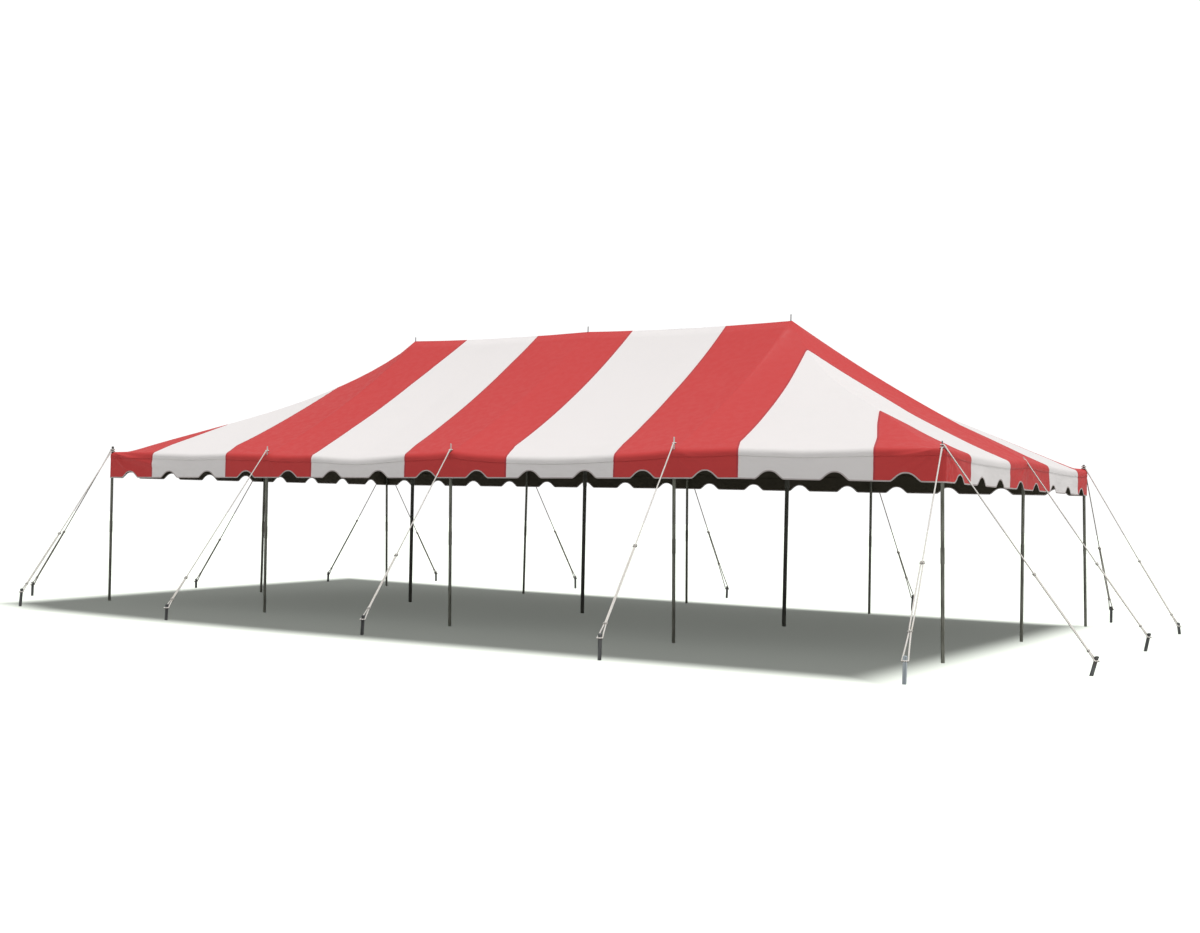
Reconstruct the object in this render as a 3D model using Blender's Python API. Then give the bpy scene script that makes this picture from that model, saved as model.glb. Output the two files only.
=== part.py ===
"""Pole tent: a hipped canopy on side poles and centre poles, held down by guy ropes and stakes.

Metres, +Z up. The long side runs along X, the front faces -Y, and the origin is on the ground under the
middle of the tent.
"""

import math

import bmesh
import bpy
from mathutils import Matrix, Vector

# Plan: ten-foot bays, four along the long side and two along each end
BAY = 3.048
LONG_BAYS = 4
END_BAYS = 2
POLE_HALF_LENGTH = LONG_BAYS * BAY / 2
POLE_HALF_WIDTH = END_BAYS * BAY / 2
CANOPY_MARGIN = 0.030
HALF_LENGTH = POLE_HALF_LENGTH + CANOPY_MARGIN
HALF_WIDTH = POLE_HALF_WIDTH + CANOPY_MARGIN
RIDGE_HALF = HALF_LENGTH - HALF_WIDTH

# Canopy heights and sags
EAVE_HEIGHT = 2.125
PEAK_HEIGHT = 3.930
EAVE_DIP_MIDDLE_BAY = 0.085
EAVE_DIP_CORNER_BAY = 0.045
EAVE_DIP_SHAPE = 0.7
RIDGE_DIP = 0.026
SIDE_SLOPE_SAG = 0.068
END_SLOPE_SAG = 0.041
HIP_FOOT_HEIGHT = 2.027
HIP_TOE_SLOPE = 0.08
HIP_SAG = 0.6300
HIP_SAG_START = 1.667
HIP_SAG_END = 0.805
EDGE_DROP = 0.020
EDGE_ROUNDING = 0.120
FABRIC = 0.006
SEAM = 0.0004
PIN_HOLE_CLEARANCE = 0.0012
PIN_HOLE_DEPTH = 0.4
PIN_HOLE_TURN = 0.13

# Valance
VALANCE_BOTTOM = 1.780
NOTCH_PITCH = BAY / 4
NOTCH_HALF_WIDTH = 0.165
NOTCH_HEIGHT = 0.087
NOTCH_SHAPE = 1.4
NOTCH_STEPS = 4

# Canopy mesh: how finely a bay and a slope are divided
BAY_COLUMNS = 8
SLOPE_ROWS = (0.0, 0.018, 0.045, 0.13, 0.26, 0.41, 0.56, 0.71, 0.86, 1.0)

# Poles
SIDE_POLE_RADIUS = 0.019
SIDE_SLEEVE_RADIUS = 0.0215
SLEEVE_LENGTH = 0.16
SLEEVE_HEIGHT = 1.06
CENTRE_POLE_RADIUS = 0.0254
CENTRE_SLEEVE_RADIUS = 0.0285
CENTRE_SLEEVE_HEIGHT = 1.85
PIN_RADIUS = 0.0065
CAPPED_PIN_RADIUS = 0.0165
PIN_TIP_WIDTH = 0.7
PIN_TIP_LENGTH = 0.5
SHOULDER_CLEARANCE = 0.003
SHOULDER_WIDTH = 0.9
POLE_CHAMFER = 0.004

# Guy ropes
ROPE_RADIUS = 0.006
ROPE_EYE_RADIUS = 0.0065
ROPE_LIFT = 0.021
ROPE_STACK = 0.026
ROPE_EYE_PLAY = 0.002
ROPE_EYE_SIDES = 8
ROPE_CLEARANCE = 0.0006
ROPE_BEVEL_STEPS = 2
STRAND_GAP = 0.0015
SLIDE_PLACE = 0.56
SLIDE_LENGTH = 0.060
SLIDE_RADIUS = 0.015
SLIDE_GRIP = 0.3
LOOP_DROP = 0.046
LOOP_STEPS = 6

# Stakes
STAKE_RADIUS = 0.019
STAKE_HEAD_RADIUS = 0.0215
STAKE_HEAD_HEIGHT = 0.022
STAKE_CROWN_WIDTH = 0.6
STAKE_CROWN_DROP = 0.003
STAKE_LIP = 0.008
STAKE_NECK = 0.002

# Mesh settings
ROUND_SIDES = 12
WELD = 0.00008

# Each side pole: name, place along X and Y in bays, how far its foot stands off along X, the top of its pin,
# and whether the pin has a cap
SIDE_POLES = (
    ("front_1", -2, -1, 0.024, 2.210, True),
    ("front_2", -1, -1, 0.000, 2.195, False),
    ("front_3", 0, -1, 0.010, 2.215, False),
    ("front_4", 1, -1, 0.038, 2.270, False),
    ("front_5", 2, -1, 0.016, 2.205, False),
    ("right_middle", 2, 0, -0.024, 2.170, False),
    ("back_5", 2, 1, 0.026, 2.190, True),
    ("back_4", 1, 1, 0.000, 2.205, False),
    ("back_3", 0, 1, 0.030, 2.205, False),
    ("back_2", -1, 1, -0.020, 2.205, False),
    ("back_1", -2, 1, 0.060, 2.205, False),
    ("left_middle", -2, 0, -0.010, 2.205, False),
)

# Each centre pole: name, place along X in bays, and the top of its pin
CENTRE_POLES = (("left", -1, 3.990), ("middle", 0, 4.005), ("right", 1, 4.015))

# Each stake: name, its pole, place on the ground, height, lean along X and Y, and place of its eye on the pin
STAKES = (
    ("front_1", "front_1", -5.960, -4.610, 0.240, 0.10, 0.00, 0),
    ("front_2", "front_2", -2.960, -4.800, 0.195, 0.02, 0.02, 0),
    ("front_3", "front_3", 0.030, -4.680, 0.220, 0.04, 0.02, 0),
    ("front_4", "front_4", 3.410, -5.150, 0.260, 0.00, 0.00, 0),
    ("front_5", "front_5", 6.415, -5.040, 0.248, 0.02, 0.00, 0),
    ("right_front", "front_5", 7.571, -3.204, 0.188, 0.27, 0.00, 1),
    ("right_middle", "right_middle", 7.490, -0.190, 0.205, 0.20, 0.00, 0),
    ("right_back", "back_5", 7.380, 2.660, 0.150, -0.12, 0.00, 0),
    ("back_5", "back_5", 6.236, 4.100, 0.230, 0.00, 0.04, 1),
    ("back_4", "back_4", 3.270, 4.280, 0.240, 0.04, 0.06, 0),
    ("back_3", "back_3", -0.130, 4.800, 0.200, 0.00, 0.06, 0),
    ("back_2", "back_2", -3.360, 5.150, 0.230, -0.04, 0.00, 0),
    ("back_1", "back_1", -6.480, 5.060, 0.190, -0.06, 0.04, 0),
    ("left_back", "back_1", -7.620, 3.270, 0.185, 0.00, 0.02, 1),
    ("left_middle", "left_middle", -7.630, 0.040, 0.155, -0.02, 0.00, 0),
    ("left_front", "front_1", -7.610, -3.170, 0.210, 0.02, 0.00, 1),
)

ROUGHNESS = 0.6
METALS = ("pole_steel", "stake_steel")
COLOURS = {
    "canopy_red": (0.560, 0.060, 0.060, 1.0),
    "valance_white": (0.780, 0.780, 0.780, 1.0),
    "pole_steel": (0.100, 0.105, 0.085, 1.0),
    "rope_white": (0.620, 0.580, 0.500, 1.0),
    "stake_steel": (0.200, 0.210, 0.220, 1.0),
}


def clear_scene():
    for obj in list(bpy.data.objects):
        bpy.data.objects.remove(obj, do_unlink=True)


def new_collection(name):
    collection = bpy.data.collections.new(name)
    bpy.context.scene.collection.children.link(collection)
    return collection


def new_material(slot):
    material = bpy.data.materials.new(slot)
    material.use_nodes = True
    shader = material.node_tree.nodes["Principled BSDF"]
    shader.inputs["Base Color"].default_value = COLOURS[slot]
    shader.inputs["Roughness"].default_value = ROUGHNESS
    if slot in METALS:
        shader.inputs["Metallic"].default_value = 1.0
    return material


def new_object(name, mesh, slot):
    obj = bpy.data.objects.new(name, mesh)
    mesh.materials.append(MATERIALS[slot])
    TENT.objects.link(obj)
    return obj


def mesh_from(name, shape):
    bmesh.ops.recalc_face_normals(shape, faces=shape.faces)
    mesh = bpy.data.meshes.new(name)
    shape.to_mesh(mesh)
    shape.free()
    return mesh


def eave_height(place, half):
    """Height of the canopy's edge at a place along one side, measured from the side's middle."""
    reach = half - CANOPY_MARGIN
    inside = max(-reach, min(reach, place))
    part = (inside / BAY) % 1.0
    corner_bay = abs(inside) > reach - BAY
    dip = EAVE_DIP_CORNER_BAY if corner_bay else EAVE_DIP_MIDDLE_BAY
    return EAVE_HEIGHT - dip * (4 * part * (1 - part)) ** EAVE_DIP_SHAPE


def ridge_height(x):
    part = (x / BAY) % 1.0
    return PEAK_HEIGHT - RIDGE_DIP * 4 * part * (1 - part)


def hip_height(run):
    """Height of a hip where it is this far in from both of its eaves."""
    part = min(1.0, max(0.0, run / HALF_WIDTH))
    sag = HIP_SAG * part**HIP_SAG_START * (1 - part) ** HIP_SAG_END
    curve = HIP_FOOT_HEIGHT + (PEAK_HEIGHT - HIP_FOOT_HEIGHT) * (part - sag)
    return max(curve, EAVE_HEIGHT + HIP_TOE_SLOPE * run)


def roof_height(x, y):
    """Height of the canopy's outer face over a point of the plan."""
    in_x = HALF_LENGTH - abs(x)
    in_y = HALF_WIDTH - abs(y)
    on_side = in_y <= in_x
    inset = in_y if on_side else in_x
    run = max(min(in_x, HALF_WIDTH) if on_side else in_y, 1e-6)
    low = eave_height(x, HALF_LENGTH) if on_side else eave_height(y, HALF_WIDTH)
    high = ridge_height(x) if on_side and abs(x) < RIDGE_HALF else hip_height(run)
    part = min(1.0, max(0.0, inset / run))
    sag = (SIDE_SLOPE_SAG if on_side else END_SLOPE_SAG) * (run / HALF_WIDTH) ** 2
    height = low + (high - low) * (part - sag * 4 * part * (1 - part))
    return height - EDGE_DROP * max(0.0, 1 - inset / EDGE_ROUNDING) ** 2


def column_places(half):
    """Places of the mesh columns along one side of the canopy."""
    reach = half - CANOPY_MARGIN
    count = round(2 * reach / BAY * BAY_COLUMNS)
    places = [-reach + 2 * reach * i / count for i in range(count + 1)]
    places[0] = -half + SEAM
    places[-1] = half - SEAM
    return places


def placed_grid(columns, rows, place):
    """An open sheet of columns by rows vertices, each put where place(column, row) says."""
    shape = bmesh.new()
    half = 0.5
    bmesh.ops.create_grid(shape, x_segments=columns - 1, y_segments=rows - 1, size=half)
    for vertex in shape.verts:
        column = round((vertex.co.x + half) * (columns - 1))
        row = round((vertex.co.y + half) * (rows - 1))
        vertex.co = place(column, row)
    return shape


def thickened(shape, offset):
    """Turns an open sheet into a closed solid by moving a copy of its faces by offset."""
    grown = bmesh.ops.extrude_face_region(shape, geom=shape.faces[:])
    moved = [item for item in grown["geom"] if isinstance(item, bmesh.types.BMVert)]
    bmesh.ops.translate(shape, verts=moved, vec=offset)


def slope_mesh(name, half, other_half, to_plan):
    """One slope of the canopy. to_plan turns (along the eave, distance in from it) into X and Y."""
    places = column_places(half)

    def place(column, row):
        along = places[column]
        run = min(half - abs(along), other_half) - SEAM / 2
        x, y = to_plan(along, SLOPE_ROWS[row] * run)
        return Vector((x, y, roof_height(x, y)))

    shape = placed_grid(len(places), len(SLOPE_ROWS), place)
    thickened(shape, Vector((0, 0, -FABRIC)))
    bmesh.ops.remove_doubles(shape, verts=shape.verts[:], dist=WELD)
    return mesh_from(name, shape)


def pin_cutters():
    """Cylinders that open the canopy where a pin comes through."""
    cutters = []
    for _, bay_x, bay_y, _, _, capped in SIDE_POLES:
        radius = CAPPED_PIN_RADIUS if capped else PIN_RADIUS
        cutters.append((bay_x * BAY, bay_y * BAY, radius))
    for _, bay_x, _ in CENTRE_POLES:
        cutters.append((bay_x * BAY, 0.0, PIN_RADIUS))
    shape = bmesh.new()
    for x, y, radius in cutters:
        bmesh.ops.create_cone(
            shape,
            cap_ends=True,
            segments=ROUND_SIDES,
            radius1=radius + PIN_HOLE_CLEARANCE,
            radius2=radius + PIN_HOLE_CLEARANCE,
            depth=PIN_HOLE_DEPTH,
            matrix=Matrix.Translation((x, y, roof_height(x, y))) @ Matrix.Rotation(PIN_HOLE_TURN, 4, "Z"),
        )
    cutter = bpy.data.objects.new("pin_hole_cutter", mesh_from("pin_hole_cutter", shape))
    cutter.hide_render = True
    cutter.display_type = "WIRE"
    CUTTERS.objects.link(cutter)
    return cutter


def cut_pin_holes(obj, cutter):
    holes = obj.modifiers.new("pin_holes", "BOOLEAN")
    holes.operation = "DIFFERENCE"
    holes.solver = "EXACT"
    holes.object = cutter


def edge_height(place, half):
    """Height of the canopy's edge as its mesh has it, straight between two columns."""
    places = column_places(half)
    for left, right in zip(places, places[1:]):
        if place <= right:
            break
    part = (place - left) / (right - left)
    heights = [eave_height(end, half) - EDGE_DROP for end in (left, right)]
    return heights[0] + (heights[1] - heights[0]) * part


def notch_lift(place, reach):
    """How far the notch in the valance lifts its lower edge at this place."""
    offset = (place + reach) % NOTCH_PITCH - NOTCH_PITCH / 2
    if abs(place) > reach or abs(offset) >= NOTCH_HALF_WIDTH:
        return 0.0
    return NOTCH_HEIGHT * (1 - (offset / NOTCH_HALF_WIDTH) ** 2) ** NOTCH_SHAPE


def valance_places(half, end_inset):
    reach = half - CANOPY_MARGIN
    places = [-half + end_inset, half - end_inset]
    notches = round(2 * reach / NOTCH_PITCH)
    for index in range(notches):
        middle = -reach + (index + 0.5) * NOTCH_PITCH
        for step in range(-NOTCH_STEPS, NOTCH_STEPS + 1):
            places.append(middle + step * NOTCH_HALF_WIDTH / NOTCH_STEPS)
        if index:
            places.append(middle - NOTCH_PITCH / 2)
    return sorted(places)


def valance_mesh(name, half, end_inset, to_plan, inward):
    """A hanging border with rounded notches, its outer face under the canopy's edge."""
    places = valance_places(half, end_inset)

    def place(column, row):
        along = places[column]
        x, y = to_plan(along, SEAM)
        if row:
            return Vector((x, y, edge_height(along, half) - FABRIC - SEAM))
        return Vector((x, y, VALANCE_BOTTOM + notch_lift(along, half - CANOPY_MARGIN)))

    shape = placed_grid(len(places), 2, place)
    thickened(shape, inward * FABRIC)
    return mesh_from(name, shape)


def build_canopy():
    sides = (
        ("front", HALF_LENGTH, HALF_WIDTH, 0.0, lambda along, inset: (along, inset - HALF_WIDTH), (0, 1, 0)),
        ("back", HALF_LENGTH, HALF_WIDTH, 0.0, lambda along, inset: (along, HALF_WIDTH - inset), (0, -1, 0)),
        ("left_end", HALF_WIDTH, HALF_WIDTH, 1.0, lambda along, inset: (inset - HALF_LENGTH, along), (1, 0, 0)),
        ("right_end", HALF_WIDTH, HALF_WIDTH, 1.0, lambda along, inset: (HALF_LENGTH - inset, along), (-1, 0, 0)),
    )
    cutter = pin_cutters()
    for side, half, other_half, is_end, to_plan, inward in sides:
        slope = new_object(f"roof_slope_{side}", slope_mesh(side, half, other_half, to_plan), "canopy_red")
        cut_pin_holes(slope, cutter)
        end_inset = SEAM + is_end * (FABRIC + SEAM)
        border = valance_mesh(side, half, end_inset, to_plan, Vector(inward))
        new_object(f"valance_{side}", border, "valance_white")


def turned(name, profile, slot, x, y, lean=(0.0, 0.0)):
    """A solid turned round its own vertical axis from (radius, height) pairs running from top to bottom."""
    shape = bmesh.new()
    points = [shape.verts.new((radius, 0, height)) for radius, height in profile]
    edges = [shape.edges.new(pair) for pair in zip(points, points[1:])]
    bmesh.ops.spin(
        shape,
        geom=points + edges,
        cent=(0, 0, 0),
        axis=(0, 0, 1),
        angle=2 * math.pi,
        steps=ROUND_SIDES,
        use_merge=True,
    )
    bmesh.ops.remove_doubles(shape, verts=shape.verts[:], dist=WELD)
    for vertex in shape.verts:
        vertex.co.x += x + lean[0] * vertex.co.z
        vertex.co.y += y + lean[1] * vertex.co.z
    return new_object(name, mesh_from(name, shape), slot)


def pole_profile(radius, sleeve_radius, sleeve_height, shoulder, pin_radius, pin_top):
    sleeve_top = sleeve_height + SLEEVE_LENGTH / 2
    sleeve_bottom = sleeve_height - SLEEVE_LENGTH / 2
    return (
        (0.0, pin_top),
        (pin_radius * PIN_TIP_WIDTH, pin_top),
        (pin_radius, pin_top - pin_radius * PIN_TIP_LENGTH),
        (pin_radius, shoulder),
        (radius * SHOULDER_WIDTH, shoulder),
        (radius, shoulder - POLE_CHAMFER),
        (radius, sleeve_top),
        (sleeve_radius, sleeve_top - POLE_CHAMFER),
        (sleeve_radius, sleeve_bottom + POLE_CHAMFER),
        (radius, sleeve_bottom),
        (radius, 0.0),
        (0.0, 0.0),
    )


def build_poles():
    for name, bay_x, bay_y, foot_shift, pin_top, capped in SIDE_POLES:
        x, y = bay_x * BAY, bay_y * BAY
        reach = SIDE_POLE_RADIUS
        lowest = min(roof_height(x + dx, y + dy) for dx in (-reach, 0, reach) for dy in (-reach, 0, reach))
        shoulder = lowest - FABRIC - SHOULDER_CLEARANCE
        pin = CAPPED_PIN_RADIUS if capped else PIN_RADIUS
        profile = pole_profile(SIDE_POLE_RADIUS, SIDE_SLEEVE_RADIUS, SLEEVE_HEIGHT, shoulder, pin, pin_top)
        lean = -foot_shift / roof_height(x, y)
        turned(f"side_pole_{name}", profile, "pole_steel", x + foot_shift, y, (lean, 0.0))
    for name, bay_x, pin_top in CENTRE_POLES:
        x = bay_x * BAY
        reach = CENTRE_POLE_RADIUS
        lowest = min(roof_height(x + dx, dy) for dx in (-reach, 0, reach) for dy in (-reach, 0, reach))
        shoulder = lowest - FABRIC - SHOULDER_CLEARANCE
        profile = pole_profile(
            CENTRE_POLE_RADIUS, CENTRE_SLEEVE_RADIUS, CENTRE_SLEEVE_HEIGHT, shoulder, PIN_RADIUS, pin_top
        )
        turned(f"centre_pole_{name}", profile, "pole_steel", x, 0.0)


def joined(obj, other):
    """Fuses another solid into obj and keeps the other out of the render."""
    union = obj.modifiers.new("join_" + other.name, "BOOLEAN")
    union.operation = "UNION"
    union.solver = "EXACT"
    union.object = other
    other.hide_render = True
    other.display_type = "WIRE"
    TENT.objects.unlink(other)
    CUTTERS.objects.link(other)


def rope_tube(name, route):
    """A closed round tube along the route, with welded caps."""
    curve = bpy.data.curves.new(name, "CURVE")
    curve.dimensions = "3D"
    curve.bevel_depth = ROPE_RADIUS
    curve.bevel_resolution = ROPE_BEVEL_STEPS
    curve.use_fill_caps = True
    spline = curve.splines.new("POLY")
    spline.points.add(len(route) - 1)
    for point, place in zip(spline.points, route):
        point.co = (*place, 1.0)
    source = bpy.data.objects.new(name + "_route", curve)
    CUTTERS.objects.link(source)
    bpy.context.view_layer.update()
    shape = bmesh.new()
    shape.from_mesh(source.evaluated_get(bpy.context.evaluated_depsgraph_get()).to_mesh())
    bpy.data.objects.remove(source, do_unlink=True)
    bmesh.ops.remove_doubles(shape, verts=shape.verts[:], dist=WELD)
    return new_object(name, mesh_from(name, shape), "rope_white")


def eye_ring(name, centre, radius):
    """The spliced eye that lies round the pin."""
    shape = bmesh.new()
    circle = bmesh.ops.create_circle(shape, segments=ROPE_EYE_SIDES, radius=ROPE_EYE_RADIUS)["verts"]
    for vertex in circle:
        vertex.co = Vector((radius + vertex.co.x, 0, vertex.co.y))
    bmesh.ops.spin(
        shape,
        geom=circle + shape.edges[:],
        cent=(0, 0, 0),
        axis=(0, 0, 1),
        angle=2 * math.pi,
        steps=ROUND_SIDES,
        use_merge=True,
    )
    bmesh.ops.translate(shape, verts=shape.verts[:], vec=centre)
    return new_object(name, mesh_from(name, shape), "rope_white")


def slide_block(name, centre, direction):
    """The tensioner that grips the rope's return."""
    shape = bmesh.new()
    bmesh.ops.create_cone(
        shape,
        cap_ends=True,
        segments=ROUND_SIDES,
        radius1=SLIDE_RADIUS,
        radius2=SLIDE_RADIUS,
        depth=SLIDE_LENGTH,
        matrix=Matrix.Translation(centre) @ direction.to_track_quat("Z", "Y").to_matrix().to_4x4(),
    )
    return new_object(name, mesh_from(name, shape), "rope_white")


def rope_route(eye, ring_radius, slide, loop_centre):
    """From the eye to the tensioner, down, round the stake and back up into the tensioner."""
    flat = Vector((loop_centre.x - eye.x, loop_centre.y - eye.y, 0)).normalized()
    side = Vector((-flat.y, flat.x, 0))
    down = (loop_centre - slide).normalized()
    loop_radius = STAKE_RADIUS + ROPE_RADIUS + ROPE_CLEARANCE
    gap = ROPE_RADIUS + STRAND_GAP
    grip = down * SLIDE_LENGTH * SLIDE_GRIP
    route = [eye + flat * ring_radius, slide - grip, slide + grip + side * gap]
    for step in range(LOOP_STEPS + 1):
        angle = math.pi * (0.5 - step / LOOP_STEPS)
        reach = loop_radius / math.cos(math.pi / LOOP_STEPS / 2)
        route.append(loop_centre + side * math.sin(angle) * reach + flat * math.cos(angle) * reach)
    route.append(slide + grip - side * gap)
    route.append(slide - side * gap)
    return route


def build_guys():
    poles = {name: (bay_x, bay_y, capped) for name, bay_x, bay_y, _, _, capped in SIDE_POLES}
    for name, pole, x, y, height, lean_x, lean_y, stack in STAKES:
        top = height - STAKE_HEAD_HEIGHT
        profile = (
            (0.0, height),
            (STAKE_HEAD_RADIUS * STAKE_CROWN_WIDTH, height - STAKE_CROWN_DROP),
            (STAKE_HEAD_RADIUS, top + STAKE_LIP),
            (STAKE_HEAD_RADIUS, top),
            (STAKE_RADIUS, top - STAKE_NECK),
            (STAKE_RADIUS, 0.0),
            (0.0, 0.0),
        )
        turned(f"stake_{name}", profile, "stake_steel", x, y, (lean_x, lean_y))
        bay_x, bay_y, capped = poles[pole]
        pole_x, pole_y = bay_x * BAY, bay_y * BAY
        pin = CAPPED_PIN_RADIUS if capped else PIN_RADIUS
        ring_radius = pin + ROPE_EYE_RADIUS + ROPE_EYE_PLAY
        eye = Vector((pole_x, pole_y, roof_height(pole_x, pole_y) + ROPE_LIFT + stack * ROPE_STACK))
        loop_height = height - LOOP_DROP
        loop = Vector((x + lean_x * loop_height, y + lean_y * loop_height, loop_height))
        slide = eye.lerp(loop, SLIDE_PLACE)
        rope = rope_tube(f"guy_rope_{name}", rope_route(eye, ring_radius, slide, loop))
        joined(rope, eye_ring(f"eye_{name}", eye, ring_radius))
        joined(rope, slide_block(f"slide_{name}", slide, loop - slide))


clear_scene()
TENT = new_collection("marquee_tent")
CUTTERS = new_collection("cutters")
MATERIALS = {slot: new_material(slot) for slot in COLOURS}
build_canopy()
build_poles()
build_guys()
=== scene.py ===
"""Looks of the pole tent: striped vinyl top and valance, steel poles, laid guy ropes and driven stakes.

Metres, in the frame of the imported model: the long side runs along X, the front faces -Y, the ground is z 0.
"""

import math

import bpy
import numpy as np
from mathutils import Matrix, Vector, noise


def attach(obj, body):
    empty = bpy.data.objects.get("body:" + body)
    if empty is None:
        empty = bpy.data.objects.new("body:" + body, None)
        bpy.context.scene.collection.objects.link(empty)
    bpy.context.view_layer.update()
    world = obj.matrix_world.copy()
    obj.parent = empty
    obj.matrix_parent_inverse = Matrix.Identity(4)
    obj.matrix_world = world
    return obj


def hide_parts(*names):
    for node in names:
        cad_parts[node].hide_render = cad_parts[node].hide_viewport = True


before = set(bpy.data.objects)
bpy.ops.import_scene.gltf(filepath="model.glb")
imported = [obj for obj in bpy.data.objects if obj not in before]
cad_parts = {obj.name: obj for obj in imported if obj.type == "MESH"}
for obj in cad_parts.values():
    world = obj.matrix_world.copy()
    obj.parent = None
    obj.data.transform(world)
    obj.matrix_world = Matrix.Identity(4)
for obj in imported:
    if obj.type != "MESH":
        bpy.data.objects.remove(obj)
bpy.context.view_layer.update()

# Camera, solved on the pole feet
CAMERA_PLACE = (10.596, -17.034, 1.4576)
CAMERA_YAW = 0.5462
CAMERA_PITCH = 0.0294
CAMERA_ROLL = -0.0205
CAMERA_LENS = 43.115
SENSOR_WIDTH = 36.0

# Plan and heights, the same values as the solids have
BAY = 3.048
CANOPY_MARGIN = 0.030
HALF_LENGTH = 2 * BAY + CANOPY_MARGIN
HALF_WIDTH = BAY + CANOPY_MARGIN
RIDGE_HALF = HALF_LENGTH - HALF_WIDTH
EAVE_HEIGHT = 2.125
PEAK_HEIGHT = 3.930
EAVE_DIP_MIDDLE_BAY = 0.085
EAVE_DIP_CORNER_BAY = 0.045
EAVE_DIP_SHAPE = 0.7
RIDGE_DIP = 0.026
SIDE_SLOPE_SAG = 0.068
END_SLOPE_SAG = 0.041
HIP_FOOT_HEIGHT = 2.027
HIP_TOE_SLOPE = 0.08
HIP_SAG = 0.6300
HIP_SAG_START = 1.667
HIP_SAG_END = 0.805
NOTCH_PITCH = BAY / 4
NOTCH_HALF_WIDTH = 0.165
NOTCH_HEIGHT = 0.087
NOTCH_POWER = 2.4
NOTCH_EASE = 1.7

# Cloth
CLOTH_THICKNESS = 0.002
EAVE_RADIUS = 0.050
CORNER_RADIUS = 0.035
HEM_DROP = 0.030
HEM_OVERLAP = 0.016
VALANCE_INSET = 0.0035
BINDING_WIDTH = 0.013
BINDING_LIFT = 0.0014
STRIPE_WIDTH = BAY / 2

# Where the seams between stripes run. A seam is a row of pairs: metres in from the eave, metres from the corner
# along it. One that ends on a hip has its last pair there.
LEFT_HIP_SEAMS = (1.190, 2.256)
RIGHT_HIP_SEAMS = (1.131, 2.683)
SEAMS_LEFT_SIDE = (
    ((0.0, 0.888), (0.34, 0.90), (0.57, 0.98), (0.87, 1.08), (LEFT_HIP_SEAMS[0], LEFT_HIP_SEAMS[0])),
    ((0.0, 2.312), (0.32, 2.20), (0.53, 2.22), (1.40, 2.23), (LEFT_HIP_SEAMS[1], LEFT_HIP_SEAMS[1])),
    ((0.0, 3.860), (0.34, 3.83), (0.87, 3.81), (1.51, 3.83), (2.02, 3.86), (2.51, 3.93), (3.078, 4.05)),
    ((0.0, 5.396), (0.33, 5.31), (0.93, 5.27), (2.40, 5.26), (3.078, 5.29)),
)
SEAMS_RIGHT_SIDE = (
    ((0.0, 0.758), (0.19, 0.81), (0.34, 0.85), (0.55, 0.93), (0.73, 1.00), (RIGHT_HIP_SEAMS[0], RIGHT_HIP_SEAMS[0])),
    ((0.0, 2.279), (0.21, 2.36), (0.79, 2.415), (1.33, 2.48), (1.84, 2.546), (RIGHT_HIP_SEAMS[1], RIGHT_HIP_SEAMS[1])),
    ((0.0, 3.841), (0.29, 3.90), (0.85, 3.945), (1.60, 3.983), (2.60, 3.996), (3.078, 4.01)),
    ((0.0, 5.315), (0.31, 5.40), (3.078, 5.41)),
)
SEAMS_LEFT_END = (
    ((0.0, 0.800), (0.40, 0.86), (LEFT_HIP_SEAMS[0], LEFT_HIP_SEAMS[0])),
    ((0.0, 2.300), (0.40, 2.21), (1.20, 2.23), (LEFT_HIP_SEAMS[1], LEFT_HIP_SEAMS[1])),
)
SEAMS_RIGHT_END_FRONT = (
    ((0.0, 0.845), (0.24, 0.87), (0.38, 0.87), (0.58, 0.95), (0.76, 1.04), (RIGHT_HIP_SEAMS[0], RIGHT_HIP_SEAMS[0])),
    (
        (0.0, 2.332), (0.38, 2.23), (0.91, 2.27), (1.165, 2.32), (1.415, 2.44), (1.66, 2.52), (1.90, 2.57),
        (2.365, 2.64), (RIGHT_HIP_SEAMS[1], RIGHT_HIP_SEAMS[1]),
    ),
)
SEAMS_RIGHT_END_BACK = (
    ((0.0, 0.592), (0.40, 0.74), (RIGHT_HIP_SEAMS[0], RIGHT_HIP_SEAMS[0])),
    ((0.0, 2.090), (0.30, 2.21), (0.70, 2.23), (1.60, 2.43), (RIGHT_HIP_SEAMS[1], RIGHT_HIP_SEAMS[1])),
)
SEAM_LEAN_PAST_HIP = 0.1
CHEVRON_ROUNDING = 0.06

# How this tent differs from an even one: pairs of metres along a side and metres up. Left to right from outside.
EAVE_SETTLE = {
    "front": (
        (-6.126, 0.0), (-5.28, 0.023), (-4.53, 0.008), (-3.85, 0.010), (-3.05, -0.040), (-2.28, 0.011),
        (-1.50, -0.013), (-0.74, 0.020), (0.0, -0.004), (1.54, 0.0), (2.27, 0.015), (3.05, 0.002), (3.85, 0.050),
        (4.61, 0.032), (5.37, 0.040), (6.126, 0.018),
    ),
    "right_end": ((-3.078, 0.018), (-2.13, 0.006), (-0.69, -0.006), (0.0, 0.0), (1.10, 0.015), (3.078, -0.014)),
    "back": ((-6.126, -0.014), (-5.0, 0.0), (6.126, 0.0)),
    "left_end": ((-3.078, 0.0), (3.078, 0.0)),
}
HEM_HEIGHTS = {
    "front": ((-6.126, 1.758), (-2.5, 1.780), (0.8, 1.796), (3.85, 1.811), (6.126, 1.786)),
    "right_end": ((-3.078, 1.786), (0.0, 1.775), (3.078, 1.765)),
    "back": ((-6.126, 1.765), (-3.0, 1.775), (0.0, 1.800), (6.126, 1.805)),
    "left_end": ((-3.078, 1.805), (0.0, 1.780), (3.078, 1.758)),
}
SLOPE_SWELLS = ((5.0, -1.75, 0.040, 0.85), (5.2, 1.5, 0.035, 0.90))
SLOPE_SWELL_START = 0.40
PEAK_PULL_LEFT = -0.023
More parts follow.
